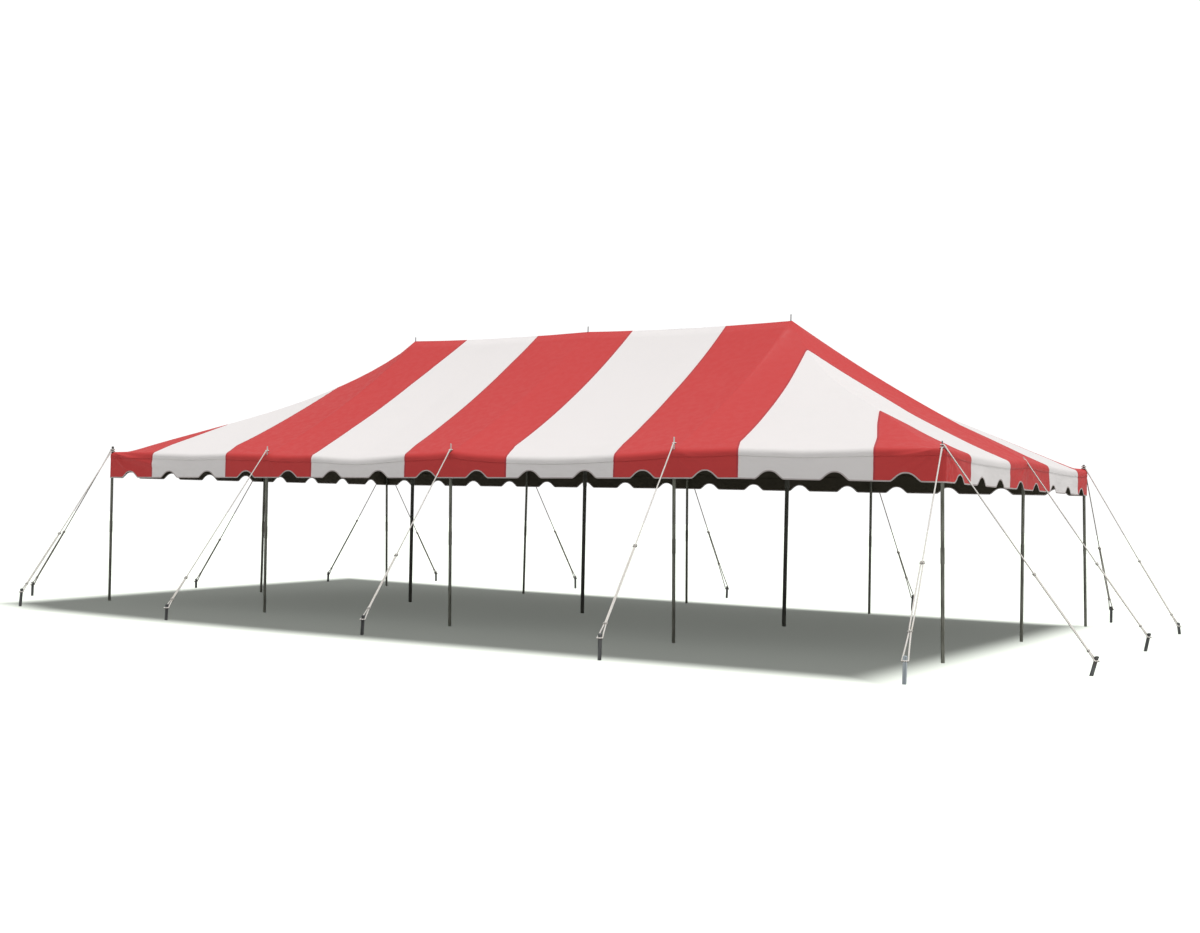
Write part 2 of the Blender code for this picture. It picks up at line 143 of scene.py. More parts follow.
PEAK_PULL_RIGHT = 0.042
POLE_LEAN_SHARE = 0.65

# Poles
SIDE_POLE_RADIUS = 0.019
SIDE_SLEEVE_RADIUS = 0.0215
SLEEVE_LENGTH = 0.16
SLEEVE_HEIGHT = 1.06
CENTRE_POLE_RADIUS = 0.0254
CENTRE_SLEEVE_RADIUS = 0.0285
CENTRE_SLEEVE_HEIGHT = 1.85
PIN_RADIUS = 0.0065
PALE_PIN_RADIUS = 0.0085
CAPPED_PIN_RADIUS = 0.0165
POLE_BELOW_CLOTH = 0.016

# Ropes and stakes
ROPE_RADIUS = 0.0085
KNOT_ROPE_RADIUS = 0.0050
ROPE_LAY = 0.056
ROPE_SIDES = 12
ROPE_STEP = 0.0062
EYE_LIFT = 0.013
ROPE_STACK = 0.026
LOOP_DROP = 0.046
STAKE_RADIUS = 0.019
STAKE_HEAD_RADIUS = 0.0215
STAKE_HEAD_HEIGHT = 0.022

# Name, bays from the middle along X and Y, how far the foot stands off along X, top of the pin, thick pin or not
SIDE_POLES = (
    ("front_1", -2, -1, 0.024, 2.210, True),
    ("front_2", -1, -1, 0.000, 2.195, False),
    ("front_3", 0, -1, 0.010, 2.215, False),
    ("front_4", 1, -1, 0.038, 2.270, False),
    ("front_5", 2, -1, 0.016, 2.205, False),
    ("right_middle", 2, 0, -0.024, 2.170, False),
    ("back_5", 2, 1, 0.026, 2.190, True),
    ("back_4", 1, 1, 0.000, 2.205, False),
    ("back_3", 0, 1, 0.030, 2.205, False),
    ("back_2", -1, 1, -0.020, 2.205, False),
    ("back_1", -2, 1, 0.060, 2.205, False),
    ("left_middle", -2, 0, -0.010, 2.205, False),
)
# Name, bay from the middle, top of the pin
CENTRE_POLES = (("left", -1, 3.990), ("middle", 0, 4.005), ("right", 1, 4.015))
# Name, pole, place on the ground, height, lean along X and Y for each metre up, which eye on the pin it has
STAKES = (
    ("front_1", "front_1", -5.960, -4.610, 0.240, 0.10, 0.00, 0),
    ("front_2", "front_2", -2.960, -4.800, 0.195, 0.02, 0.02, 0),
    ("front_3", "front_3", 0.030, -4.680, 0.220, 0.04, 0.02, 0),
    ("front_4", "front_4", 3.410, -5.150, 0.260, 0.00, 0.00, 0),
    ("front_5", "front_5", 6.415, -5.040, 0.248, 0.02, 0.00, 0),
    ("right_front", "front_5", 7.571, -3.204, 0.188, 0.27, 0.00, 1),
    ("right_middle", "right_middle", 7.490, -0.190, 0.205, 0.20, 0.00, 0),
    ("right_back", "back_5", 7.380, 2.660, 0.150, -0.12, 0.00, 0),
    ("back_5", "back_5", 6.236, 4.100, 0.230, 0.00, 0.04, 1),
    ("back_4", "back_4", 3.270, 4.280, 0.240, 0.04, 0.06, 0),
    ("back_3", "back_3", -0.130, 4.800, 0.200, 0.00, 0.06, 0),
    ("back_2", "back_2", -3.360, 5.150, 0.230, -0.04, 0.00, 0),
    ("back_1", "back_1", -6.480, 5.060, 0.190, -0.06, 0.04, 0),
    ("left_back", "back_1", -7.620, 3.270, 0.185, 0.00, 0.02, 1),
    ("left_middle", "left_middle", -7.630, 0.040, 0.155, -0.02, 0.00, 0),
    ("left_front", "front_1", -7.610, -3.170, 0.210, 0.02, 0.00, 1),
)
# How far the top of a pole stands off along X
TOP_SHIFTS = {"front_2": -0.026, "front_3": -0.033, "front_5": -0.018, "right_middle": -0.022, "back_5": -0.020}
# Parts of the way down where the tensioner and the lower knot sit, half the gap between the two strands between
# them, and how far the eye has ridden up its pin
ROPE_FITTINGS = {
    "front_1": (0.600, 0.945, 0.0105, 0.0),
    "front_2": (0.820, 0.950, 0.0105, 0.0),
    "front_3": (0.640, 0.940, 0.0078, 0.0),
    "front_4": (0.560, 0.935, 0.0076, 0.062),
    "front_5": (0.575, 0.880, 0.0140, 0.0),
    "right_front": (0.615, 0.955, 0.0120, 0.0),
    "right_middle": (0.600, 0.940, 0.0095, 0.0),
    "right_back": (0.600, 0.930, 0.0085, 0.0),
    "back_5": (0.560, 0.925, 0.0085, 0.0),
    "back_4": (0.638, 0.840, 0.0080, 0.0),
    "back_3": (0.515, 0.782, 0.0085, 0.0),
    "back_2": (0.560, 0.940, 0.0085, 0.0),
    "back_1": (0.600, 0.962, 0.0085, 0.0),
    "left_back": (0.500, 0.945, 0.0085, 0.0),
    "left_middle": (0.647, 0.940, 0.0090, 0.0),
    "left_front": (0.600, 0.945, 0.0095, 0.0),
}


# Camera, light and floor


def add_camera():
    forward = Vector(
        (
            -math.sin(CAMERA_YAW) * math.cos(CAMERA_PITCH),
            math.cos(CAMERA_YAW) * math.cos(CAMERA_PITCH),
            math.sin(CAMERA_PITCH),
        )
    )
    right = Vector((math.cos(CAMERA_YAW), math.sin(CAMERA_YAW), 0))
    down = forward.cross(right)
    rolled_right = math.cos(CAMERA_ROLL) * right + math.sin(CAMERA_ROLL) * down
    rolled_down = -math.sin(CAMERA_ROLL) * right + math.cos(CAMERA_ROLL) * down
    lens = bpy.data.cameras.new("photo_view")
    lens.lens = CAMERA_LENS
    lens.sensor_fit = "HORIZONTAL"
    lens.sensor_width = SENSOR_WIDTH
    lens.clip_end = 400
    camera = bpy.data.objects.new("photo_view", lens)
    turn = Matrix((rolled_right, -rolled_down, -forward)).transposed().to_4x4()
    camera.matrix_world = Matrix.Translation(CAMERA_PLACE) @ turn
    bpy.context.scene.collection.objects.link(camera)
    bpy.context.scene.camera = camera


SUN_FROM = (0.22, 0.05, 1.0)
SUN_STRENGTH = 1.95
SUN_ANGLE = 0.10
SKY_LOW = 0.36
SKY_RISE = 0.30
SKY_SEEN = 1.06
FLOOR_SIZE = 240.0
FLOOR_COLOUR = (0.186, 0.196, 0.179, 1)
FLOOR_BOUNCE = (0.128, 0.128, 0.124, 1)
FLOOR_SUN_STRENGTH = 17.0
FLOOR_FILL_STRENGTH = 2.36

# The soft shadow on the ground, and how it fades at its rim
SHADE_CORNERS = (
    (-6.55, -4.42), (-5.36, -4.80), (-3.64, -4.94), (-1.00, -5.05), (3.00, -5.05), (6.10, -5.02),
    (6.09, 0.00), (6.05, 3.06), (1.20, 3.30), (-4.09, 3.81), (-8.22, 4.53), (-7.52, 0.30),
)
SHADE_RIM = 0.40
SHADE_HEIGHT = 0.004


def add_sun(name, towards, strength, angle, colour):
    lamp = bpy.data.lights.new(name, "SUN")
    lamp.energy = strength
    lamp.angle = angle
    lamp.color = colour
    sun = bpy.data.objects.new(name, lamp)
    sun.rotation_euler = Vector(towards).to_track_quat("Z", "Y").to_euler()
    bpy.context.scene.collection.objects.link(sun)
    return sun


def link_set(name, objects, state):
    """A collection for light linking that takes in, or leaves out, the objects."""
    group = bpy.data.collections.new(name)
    for obj in objects:
        group.objects.link(obj)
    for entry in group.collection_objects:
        entry.light_linking.link_state = state
    return group


def add_light(floor, shade):
    sun = add_sun("sun", SUN_FROM, SUN_STRENGTH, SUN_ANGLE, (1.0, 0.985, 0.965))
    sun.light_linking.receiver_collection = link_set("not_the_floor", (floor,), "EXCLUDE")
    sun.light_linking.blocker_collection = link_set("not_the_shade", (floor, shade), "EXCLUDE")
    ground = add_sun("ground_sun", (0, 0, 1), FLOOR_SUN_STRENGTH, 0.02, (1, 1, 1))
    ground.light_linking.receiver_collection = link_set("floor_only", (floor,), "INCLUDE")
    ground.light_linking.blocker_collection = link_set("shade_only", (shade,), "INCLUDE")
    fill = add_sun("ground_fill", (0, 0, 1), FLOOR_FILL_STRENGTH, 0.02, (1, 1, 1))
    fill.light_linking.receiver_collection = link_set("floor_fill", (floor,), "INCLUDE")
    fill.light_linking.blocker_collection = link_set("floor_alone", (floor,), "INCLUDE")
    world = bpy.data.worlds.new("studio")
    world.use_nodes = True
    nodes = world.node_tree.nodes
    links = world.node_tree.links
    nodes.clear()
    output = nodes.new("ShaderNodeOutputWorld")
    seen = nodes.new("ShaderNodeBackground")
    seen.inputs["Strength"].default_value = SKY_SEEN
    seen.inputs["Color"].default_value = (1, 1, 1, 1)
    given = nodes.new("ShaderNodeBackground")
    given.inputs["Color"].default_value = (0.985, 0.99, 1.0, 1)
    direction = nodes.new("ShaderNodeTexCoord")
    split = nodes.new("ShaderNodeSeparateXYZ")
    links.new(direction.outputs["Generated"], split.inputs["Vector"])
    rise = nodes.new("ShaderNodeMath")
    rise.operation = "MULTIPLY_ADD"
    rise.inputs[1].default_value = SKY_RISE
    rise.inputs[2].default_value = SKY_LOW
    links.new(split.outputs["Z"], rise.inputs[0])
    links.new(rise.outputs["Value"], given.inputs["Strength"])
    path = nodes.new("ShaderNodeLightPath")
    mix = nodes.new("ShaderNodeMixShader")
    links.new(path.outputs["Is Camera Ray"], mix.inputs["Fac"])
    links.new(given.outputs["Background"], mix.inputs[1])
    links.new(seen.outputs["Background"], mix.inputs[2])
    links.new(mix.outputs["Shader"], output.inputs["Surface"])
    bpy.context.scene.world = world
    bpy.context.scene.view_settings.view_transform = "Standard"


def add_floor():
    half = FLOOR_SIZE / 2
    mesh = bpy.data.meshes.new("floor")
    mesh.from_pydata([(-half, -half, 0), (half, -half, 0), (half, half, 0), (-half, half, 0)], [], [(0, 1, 2, 3)])
    floor = bpy.data.objects.new("floor", mesh)
    bpy.context.scene.collection.objects.link(floor)
    material = bpy.data.materials.new("pale_floor")
    material.use_nodes = True
    nodes = material.node_tree.nodes
    links = material.node_tree.links
    seen = nodes["Principled BSDF"]
    seen.inputs["Base Color"].default_value = FLOOR_COLOUR
    given = nodes.new("ShaderNodeBsdfPrincipled")
    given.inputs["Base Color"].default_value = FLOOR_BOUNCE
    for shader in (seen, given):
        shader.inputs["Roughness"].default_value = 0.9
        shader.inputs["Specular IOR Level"].default_value = 0.0
    path = nodes.new("ShaderNodeLightPath")
    mix = nodes.new("ShaderNodeMixShader")
    links.new(path.outputs["Is Camera Ray"], mix.inputs["Fac"])
    links.new(given.outputs["BSDF"], mix.inputs[1])
    links.new(seen.outputs["BSDF"], mix.inputs[2])
    links.new(mix.outputs["Shader"], nodes["Material Output"].inputs["Surface"])
    mesh.materials.append(material)
    return floor


def add_shade():
    """A flag that keeps the light off the ground under the tent. Only its shadow shows, and its rim is soft."""
    corners = [Vector((x, y)) for x, y in SHADE_CORNERS]
    rings = []
    for reach in (-SHADE_RIM, SHADE_RIM):
        ring = []
        for index, corner in enumerate(corners):
            before = (corner - corners[index - 1]).normalized()
            after = (corners[(index + 1) % len(corners)] - corner).normalized()
            out_before = Vector((before.y, -before.x))
            out_after = Vector((after.y, -after.x))
            middle = (out_before + out_after).normalized()
            ring.append(corner + middle * (reach / middle.dot(out_after)))
        rings.append(ring)
    points = [(p.x, p.y, SHADE_HEIGHT) for ring in rings for p in ring]
    count = len(corners)
    faces = [tuple(range(count))]
    faces += [(index, index + count, (index + 1) % count + count, (index + 1) % count) for index in range(count)]
    mesh = bpy.data.meshes.new("ground_shade")
    mesh.from_pydata(points, [], faces)
    cover = mesh.attributes.new("cover", "FLOAT", "POINT")
    cover.data.foreach_set("value", [1.0] * count + [0.0] * count)
    shade = bpy.data.objects.new("ground_shade", mesh)
    bpy.context.scene.collection.objects.link(shade)
    material = bpy.data.materials.new("ground_shade")
    material.use_nodes = True
    nodes = material.node_tree.nodes
    links = material.node_tree.links
    dark = nodes["Principled BSDF"]
    dark.inputs["Base Color"].default_value = (0, 0, 0, 1)
    clear = nodes.new("ShaderNodeBsdfTransparent")
    attribute = nodes.new("ShaderNodeAttribute")
    attribute.attribute_name = "cover"
    fade = nodes.new("ShaderNodeMapRange")
    fade.interpolation_type = "SMOOTHSTEP"
    links.new(attribute.outputs["Fac"], fade.inputs["Value"])
    mix = nodes.new("ShaderNodeMixShader")
    links.new(fade.outputs["Result"], mix.inputs["Fac"])
    links.new(clear.outputs["BSDF"], mix.inputs[1])
    links.new(dark.outputs["BSDF"], mix.inputs[2])
    links.new(mix.outputs["Shader"], nodes["Material Output"].inputs["Surface"])
    mesh.materials.append(material)
    shade.visible_camera = False
    shade.visible_diffuse = False
    shade.visible_glossy = False
    shade.visible_transmission = False
    return shade


# Form of the canopy


def smooth(low, high, value):
    part = np.clip((value - low) / (high - low), 0.0, 1.0)
    return part * part * (3 - 2 * part)


def eave_height(along, half):
    reach = half - CANOPY_MARGIN
    inside = np.clip(along, -reach, reach)
    part = (inside / BAY) % 1.0
    corner_bay = np.abs(inside) > reach - BAY
    dip = np.where(corner_bay, EAVE_DIP_CORNER_BAY, EAVE_DIP_MIDDLE_BAY)
    return EAVE_HEIGHT - dip * (4 * part * (1 - part)) ** EAVE_DIP_SHAPE


def ridge_height(along):
    part = (along / BAY) % 1.0
    return PEAK_HEIGHT - RIDGE_DIP * 4 * part * (1 - part)


def hip_height(run):
    part = np.clip(run / HALF_WIDTH, 0.0, 1.0)
    sag = HIP_SAG * part**HIP_SAG_START * (1 - part) ** HIP_SAG_END
    curve = HIP_FOOT_HEIGHT + (PEAK_HEIGHT - HIP_FOOT_HEIGHT) * (part - sag)
    return np.maximum(curve, EAVE_HEIGHT + HIP_TOE_SLOPE * run)


def slope_height(along, inset, half, settled=0.0):
    """Height of a slope before its edge is rounded, at a place along the side and in from its eave."""
    in_along = np.maximum(half - np.abs(along), inset)
    run = np.maximum(np.minimum(in_along, HALF_WIDTH), 1e-6)
    low = eave_height(along, half) + settled
    is_long = half > HALF_WIDTH + CANOPY_MARGIN
    on_ridge = is_long & (np.abs(along) < RIDGE_HALF)
    high = np.where(on_ridge, ridge_height(along), hip_height(run))
    part = np.clip(inset / run, 0.0, 1.0)
    sag = (SIDE_SLOPE_SAG if is_long else END_SLOPE_SAG) * (run / HALF_WIDTH) ** 2
    return low + (high - low) * (part - sag * 4 * part * (1 - part))


def edge_drop(inset):
    return EAVE_RADIUS * (1 - np.sqrt(np.clip(inset / EAVE_RADIUS, 0.0, 1.0))) ** 2


def boundary_place(seam, inset):
    """How far from the corner a seam lies, for cloth a distance in from the eave."""
    insets, places = zip(*seam)
    beyond = np.clip(inset - insets[-1], 0.0, None)
    return np.interp(inset, insets, places) + SEAM_LEAN_PAST_HIP * beyond


def stripe_place(along_in, inset, seams):
    """The stripe coordinate: metres from the corner if each stripe were as wide as a new one."""
    places = [boundary_place(seam, inset) for seam in seams]
    marks = [STRIPE_WIDTH * (index + 0.5) for index in range(len(seams))]
    first = marks[0] + along_in - places[0]
    last = marks[-1] + along_in - places[-1]
    result = np.where(along_in < places[0], first, last)
    for low, high, mark in zip(places, places[1:], marks):
        inside = (along_in >= low) & (along_in < high)
        result = np.where(inside, mark + STRIPE_WIDTH * (along_in - low) / np.maximum(high - low, 1e-6), result)
    return result


def corner_stripes(in_x, in_y, side_seams, end_seams):
    """The stripe coordinate round one corner, where the stripes of a side and an end meet on the hip."""
    from_side = stripe_place(in_x, in_y, side_seams)
    from_end = stripe_place(in_y, in_x, end_seams)
    on_side = in_y <= in_x
    own = np.where(on_side, from_side, from_end)
    other = np.where(on_side, from_end, from_side)
    gap = np.clip(CHEVRON_ROUNDING - (own - other), 0.0, 2 * CHEVRON_ROUNDING)
    return own + gap**2 / (4 * CHEVRON_ROUNDING)


def stripe_field(x, y):
    in_x = HALF_LENGTH - np.abs(x)
    in_y = HALF_WIDTH - np.abs(y)
    left = corner_stripes(in_x, in_y, SEAMS_LEFT_SIDE, SEAMS_LEFT_END)
    right_front = corner_stripes(in_x, in_y, SEAMS_RIGHT_SIDE, SEAMS_RIGHT_END_FRONT)
    right_back = corner_stripes(in_x, in_y, SEAMS_RIGHT_SIDE, SEAMS_RIGHT_END_BACK)
    return np.where(x < 0, left, np.where(y < 0, right_front, right_back))


def settle(table, name, along):
    places, values = zip(*table[name])
    return np.interp(along, places, values)


def swell(x, y, inset):
    """Where the slopes stand fuller than their plain curve."""
    total = np.zeros(np.shape(x))
    for middle_x, middle_y, height, reach in SLOPE_SWELLS:
        total = total + height * np.exp(-((x - middle_x) ** 2 + (y - middle_y) ** 2) / reach**2)
    return total * smooth(0.0, SLOPE_SWELL_START, inset)


def peak_pull(x, height):
    """How far the poles' lean has drawn the top along X."""
    rise = np.clip((height - EAVE_HEIGHT) / (PEAK_HEIGHT - EAVE_HEIGHT), 0.0, 1.0)
    return np.where(x > 0, PEAK_PULL_RIGHT, PEAK_PULL_LEFT) * rise * np.clip(np.abs(x) / BAY, 0.0, 1.0)


# The four sides: name, half length, and where (along, inset) lies in plan; along runs left to right from outside
SIDES = (
    ("front", HALF_LENGTH, lambda a, d: (a, d - HALF_WIDTH)),
    ("right_end", HALF_WIDTH, lambda a, d: (HALF_LENGTH - d, a)),
    ("back", HALF_LENGTH, lambda a, d: (-a, HALF_WIDTH - d)),
    ("left_end", HALF_WIDTH, lambda a, d: (d - HALF_LENGTH, -a)),
)


def rounded_plan(x, y):
    """Turns the square corners of the plan into round ones."""
    over_x = np.clip(np.abs(x) - (HALF_LENGTH - CORNER_RADIUS), 0.0, None)
    over_y = np.clip(np.abs(y) - (HALF_WIDTH - CORNER_RADIUS), 0.0, None)
    length = np.hypot(over_x, over_y)
    scale = np.where(length > 0, np.maximum(over_x, over_y) / np.maximum(length, 1e-9), 1.0)
    new_x = np.sign(x) * (np.abs(x) - over_x * (1 - scale))
    new_y = np.sign(y) * (np.abs(y) - over_y * (1 - scale))
    return new_x, new_y


# Folds. Each is (pin along the side, angle below level, height of the fold, angular width, length, way it runs)
FOLDS = {
    "front": (
        (-6.096, 3.0, -0.014, 2.2, 0.85, 1),
        (-6.096, 10.5, 0.022, 2.8, 0.95, 1),
        (-6.096, 21.0, -0.012, 6.0, 0.50, 1),
        (-6.096, 35.0, 0.014, 4.5, 0.40, 1),
        (-6.096, 46.0, -0.006, 5.0, 0.28, 1),
        (-3.048, 24.0, 0.006, 5.0, 0.30, 1),
        (-3.048, 48.0, 0.007, 6.0, 0.26, 1),
        (-3.048, 66.0, -0.005, 6.0, 0.24, 1),
        (-3.048, 40.0, 0.005, 6.0, 0.28, -1),
        (0.0, 30.0, 0.006, 5.0, 0.34, 1),
        (0.0, 54.0, 0.006, 6.0, 0.26, 1),
        (0.0, 22.0, 0.005, 5.0, 0.34, -1),
        (0.0, 50.0, -0.005, 6.0, 0.26, -1),
        (3.048, 19.0, 0.009, 4.0, 0.46, 1),
        (3.048, 33.0, -0.006, 5.0, 0.40, 1),
        (3.048, 47.0, 0.008, 5.0, 0.34, 1),
        (3.048, 66.0, -0.005, 6.0, 0.26, 1),
        (3.048, 35.0, 0.005, 6.0, 0.30, -1),
        (6.096, 5.0, -0.008, 2.5, 0.45, -1),
        (6.096, 10.5, 0.012, 2.6, 0.60, -1),
        (6.096, 17.0, -0.006, 2.8, 0.42, -1),
        (6.096, 24.0, 0.010, 2.8, 0.42, -1),
        (6.096, 32.0, -0.006, 3.5, 0.36, -1),
        (6.096, 41.0, 0.009, 3.8, 0.36, -1),
        (6.096, 58.0, 0.007, 5.0, 0.28, -1),
    ),
    "right_end": (
        (-3.048, 12.0, 0.008, 4.0, 0.70, 1),
        (-3.048, 22.0, -0.007, 5.0, 0.60, 1),
        (-3.048, 34.0, 0.010, 5.0, 0.50, 1),
        (-3.048, 52.0, -0.006, 6.0, 0.34, 1),
        (0.0, 14.0, 0.008, 4.0, 0.60, -1),
        (0.0, 30.0, 0.008, 5.0, 0.50, -1),
        (0.0, 52.0, -0.006, 6.0, 0.30, -1),
        (0.0, 18.0, 0.007, 5.0, 0.50, 1),
        (0.0, 40.0, 0.007, 6.0, 0.40, 1),
        (3.048, 12.0, 0.008, 4.0, 0.60, -1),
        (3.048, 28.0, 0.008, 5.0, 0.50, -1),
        (3.048, 48.0, -0.006, 6.0, 0.30, -1),
    ),
    "back": (
        (-6.096, 12.0, 0.012, 3.5, 0.70, 1),
        (-6.096, 30.0, 0.010, 5.0, 0.45, 1),
        (-3.048, 28.0, 0.007, 5.0, 0.34, 1),
        (-3.048, 36.0, 0.006, 5.0, 0.30, -1),
        (0.0, 22.0, 0.007, 5.0, 0.34, 1),
        (0.0, 44.0, 0.006, 5.0, 0.30, -1),
        (3.048, 26.0, 0.007, 5.0, 0.34, 1),
        (3.048, 38.0, 0.007, 5.0, 0.34, -1),
        (6.096, 10.0, 0.014, 3.5, 0.80, -1),
        (6.096, 33.0, 0.011, 5.0, 0.45, -1),
    ),
    "left_end": (
        (-3.048, 12.0, 0.010, 4.0, 0.60, 1),
        (-3.048, 34.0, 0.009, 5.0, 0.45, 1),
        (0.0, 20.0, 0.007, 5.0, 0.40, 1),
        (0.0, 32.0, 0.007, 5.0, 0.40, -1),
        (3.048, 10.0, 0.012, 4.0, 0.70, -1),
        (3.048, 36.0, 0.010, 5.0, 0.45, -1),
    ),
}

# How far the cloth stands out over each notch, from left to right along a side
NOTCH_SWELLS = {
    "front": (0.002, 0.003, 0.004, 0.002, 0.003, 0.004, 0.002, 0.003, 0.002, 0.004, 0.003, 0.002, 0.003, 0.002, 0.004, 0.004),
    "right_end": (0.017, 0.018, 0.002, 0.017, 0.004, 0.014, 0.015, 0.010),
    "back": (0.008, 0.004, 0.010, 0.003, 0.006, 0.010, 0.004, 0.007, 0.003, 0.009, 0.005, 0.008, 0.003, 0.009, 0.004, 0.007),
    "left_end": (0.010, 0.005, 0.012, 0.004, 0.008, 0.012, 0.005, 0.009),
}


NOTCH_SHIFTS = {"front": {0: 0.03, 1: 0.06, 2: 0.04, 12: 0.02, 13: 0.02}}


def cloth_noise(side_index, along, up, scale_along, scale_up, seed):
    values = np.empty(along.size)
    flat_along = along.ravel() / scale_along
    flat_up = up.ravel() / scale_up
    for index in range(along.size):
        values[index] = noise.noise((flat_along[index], flat_up[index], seed + 7.3 * side_index))
    return values.reshape(along.shape)


def fold_field(side_index, name, half, along, up):
    """How far the cloth stands out of its plain form. up is measured along it from the eave's foot."""
    out = np.zeros(along.shape)
    for pin, angle, height, width, length, way in FOLDS[name]:
        across = (along - pin) * way
        below = EAVE_RADIUS - up
        distance = np.hypot(across, below)
        turned = np.degrees(np.arctan2(below, np.maximum(across, 1e-4)))
        shape = np.exp(-(((turned - angle) / width) ** 2)) * (across > 0)
        out += height * shape * smooth(0.02, 0.16, distance) * np.exp(-((distance / length) ** 2))
    hang = np.clip(-up / 0.30, 0.0, 1.3)
    swells = NOTCH_SWELLS[name]
    for index, swell in enumerate(swells):
        middle = -(half - CANOPY_MARGIN) + (index + 0.5) * NOTCH_PITCH
        near = np.clip(np.abs(along - middle) / (NOTCH_PITCH / 2), 0.0, 1.0)
        out += swell * (0.5 + 0.5 * np.cos(math.pi * near)) * hang * 2.0
    corner = smooth(0.0, 0.10, half - np.abs(along))
    flat = smooth(0.9, 0.0, up)
    out += 0.0040 * cloth_noise(side_index, along, up, 0.34, 0.11, 1.0) * flat * corner
    out += 0.0016 * cloth_noise(side_index, along, up, 0.11, 0.045, 4.0) * smooth(0.25, 0.0, up) * corner
    out += 0.0060 * cloth_noise(side_index, along, up, 0.80, 1.60, 9.0) * smooth(0.05, 0.6, up) * corner
    return out


def crease_lines(name, along, up):
    """Sharp packing creases that run level along the valance."""
    line = np.exp(-(((up + 0.135) / 0.006) ** 2)) * 0.0022
    second = np.exp(-(((up + 0.215) / 0.006) ** 2)) * 0.0016
    strength = 1.0 if name.endswith("end") else 0.6
    patchy = 0.5 + 0.5 * np.sin(along * 2.1 + 0.7) * np.sin(along * 0.9 + 2.0)
    return (line * patchy + second * (1 - patchy)) * strength


def crumple(name, side_index, along, up):
    """Fine crushing beside the front right corner, where the top is pulled down hard."""
    if name != "right_end":
        return np.zeros(along.shape)
    zone = smooth(0.55, 0.10, along + HALF_WIDTH) * smooth(0.0, 0.05, along + HALF_WIDTH) * smooth(0.02, -0.08, up)
    values = cloth_noise(side_index, along, up, 0.055, 0.045, 21.0)
    return 0.010 * values * zone


def side_columns(half, step, fine_step):
    """Places along a side: even between the outer peaks, closer together towards the corners."""
    core = half - HALF_WIDTH
    gaps = [fine_step]
    while sum(gaps) < HALF_WIDTH:
        gaps.append(min(step, gaps[-1] * 1.12))
    outer = np.cumsum(gaps)[::-1] * (HALF_WIDTH / sum(gaps))
    right = half - outer[1:]
    right = np.concatenate([right, [half]])
    middle_count = 2 * int(round(core / step))
    middle = np.linspace(-core, core, middle_count + 1) if middle_count else np.zeros(1)
    return np.concatenate([-right[::-1], middle, right])


def narrowed(columns, inset, half):
    """Where the columns lie along a side, at a distance in from the eave: they close in between the peak and hip."""
    core = half - HALF_WIDTH
    size = np.abs(columns)
    outer = np.clip(size - core, 0.0, None)
    return np.sign(columns) * (np.minimum(size, core) + outer * (HALF_WIDTH - inset) / HALF_WIDTH)


def grid_faces(columns, rows, first=0):
    """Quads of a grid whose vertices run row by row, wound to face out of a side."""
    faces = []
    for row in range(rows - 1):
        for column in range(columns - 1):
            corner = first + row * columns + column
            faces.append((corner, corner + 1, corner + columns + 1, corner + columns))
    return faces


def grid_normals(points):
    """Unit normals of a grid of points, out of the face that its quads have."""
    along = np.gradient(points, axis=1)
    up = np.gradient(points, axis=0)
    normals = np.cross(along, up)
    length = np.linalg.norm(normals, axis=2, keepdims=True)
    return normals / np.maximum(length, 1e-12)


def new_mesh_object(name, points, faces, materials, smooth_angle=None):
    mesh = bpy.data.meshes.new(name)
    mesh.from_pydata([tuple(p) for p in points], [], faces)
    mesh.validate()
    for material in materials:
        mesh.materials.append(material)
    mesh.polygons.foreach_set("use_smooth", [True] * len(mesh.polygons))
    if smooth_angle is not None:
        mesh.set_sharp_from_angle(angle=math.radians(smooth_angle))
    obj = bpy.data.objects.new(name, mesh)
    bpy.context.scene.collection.objects.link(obj)
    return obj


def weld_map(points, distance=0.0002):
    """For each point, the index of the first point that lies on it."""
    keys = {}
    result = np.empty(len(points), int)
    for index, point in enumerate(np.round(points / distance).astype(int)):
        result[index] = keys.setdefault(tuple(point), index)
    return result


def cloth_object(name, parts, materials):
    """One sheet from several grids of points, welded where they meet. Each part has points, stripe and cloth place."""
    all_points, all_stripe, all_place, faces = [], [], [], []
    first = 0
    for points, stripe, place in parts:
        rows, columns = points.shape[:2]
        all_points.append(points.reshape(-1, 3))
        all_stripe.append(stripe.ravel())
        all_place.append(place.reshape(-1, 2))
        faces += grid_faces(columns, rows, first)
        first += rows * columns
    points = np.concatenate(all_points)
    stripe = np.concatenate(all_stripe)
    place = np.concatenate(all_place)
    same = weld_map(points)
    used = sorted(set(same.tolist()))
    number = {old: new for new, old in enumerate(used)}
    welded, corner_place = [], []
    for face in faces:
        ring = []
        source = []
        for corner in face:
            target = number[int(same[corner])]
            if target not in ring:
                ring.append(target)
                source.append(corner)
        if len(ring) > 2:
            welded.append(tuple(ring))
            corner_place += [place[corner] for corner in source]
    obj = new_mesh_object(name, points[used], welded, materials)
    attribute = obj.data.attributes.new("stripe", "FLOAT", "POINT")
    attribute.data.foreach_set("value", stripe[used].astype(np.float32))
    layer = obj.data.uv_layers.new(name="cloth")
    layer.data.foreach_set("uv", np.array(corner_place, np.float32).ravel())
    return obj


ROOF_COLUMN = 0.036
VALANCE_COLUMN = 0.0165
CORNER_COLUMN = 0.010
EDGE_ROWS = 6
ROOF_ROWS = 33
ROW_GROWTH = 1.055
VALANCE_ROWS = 17


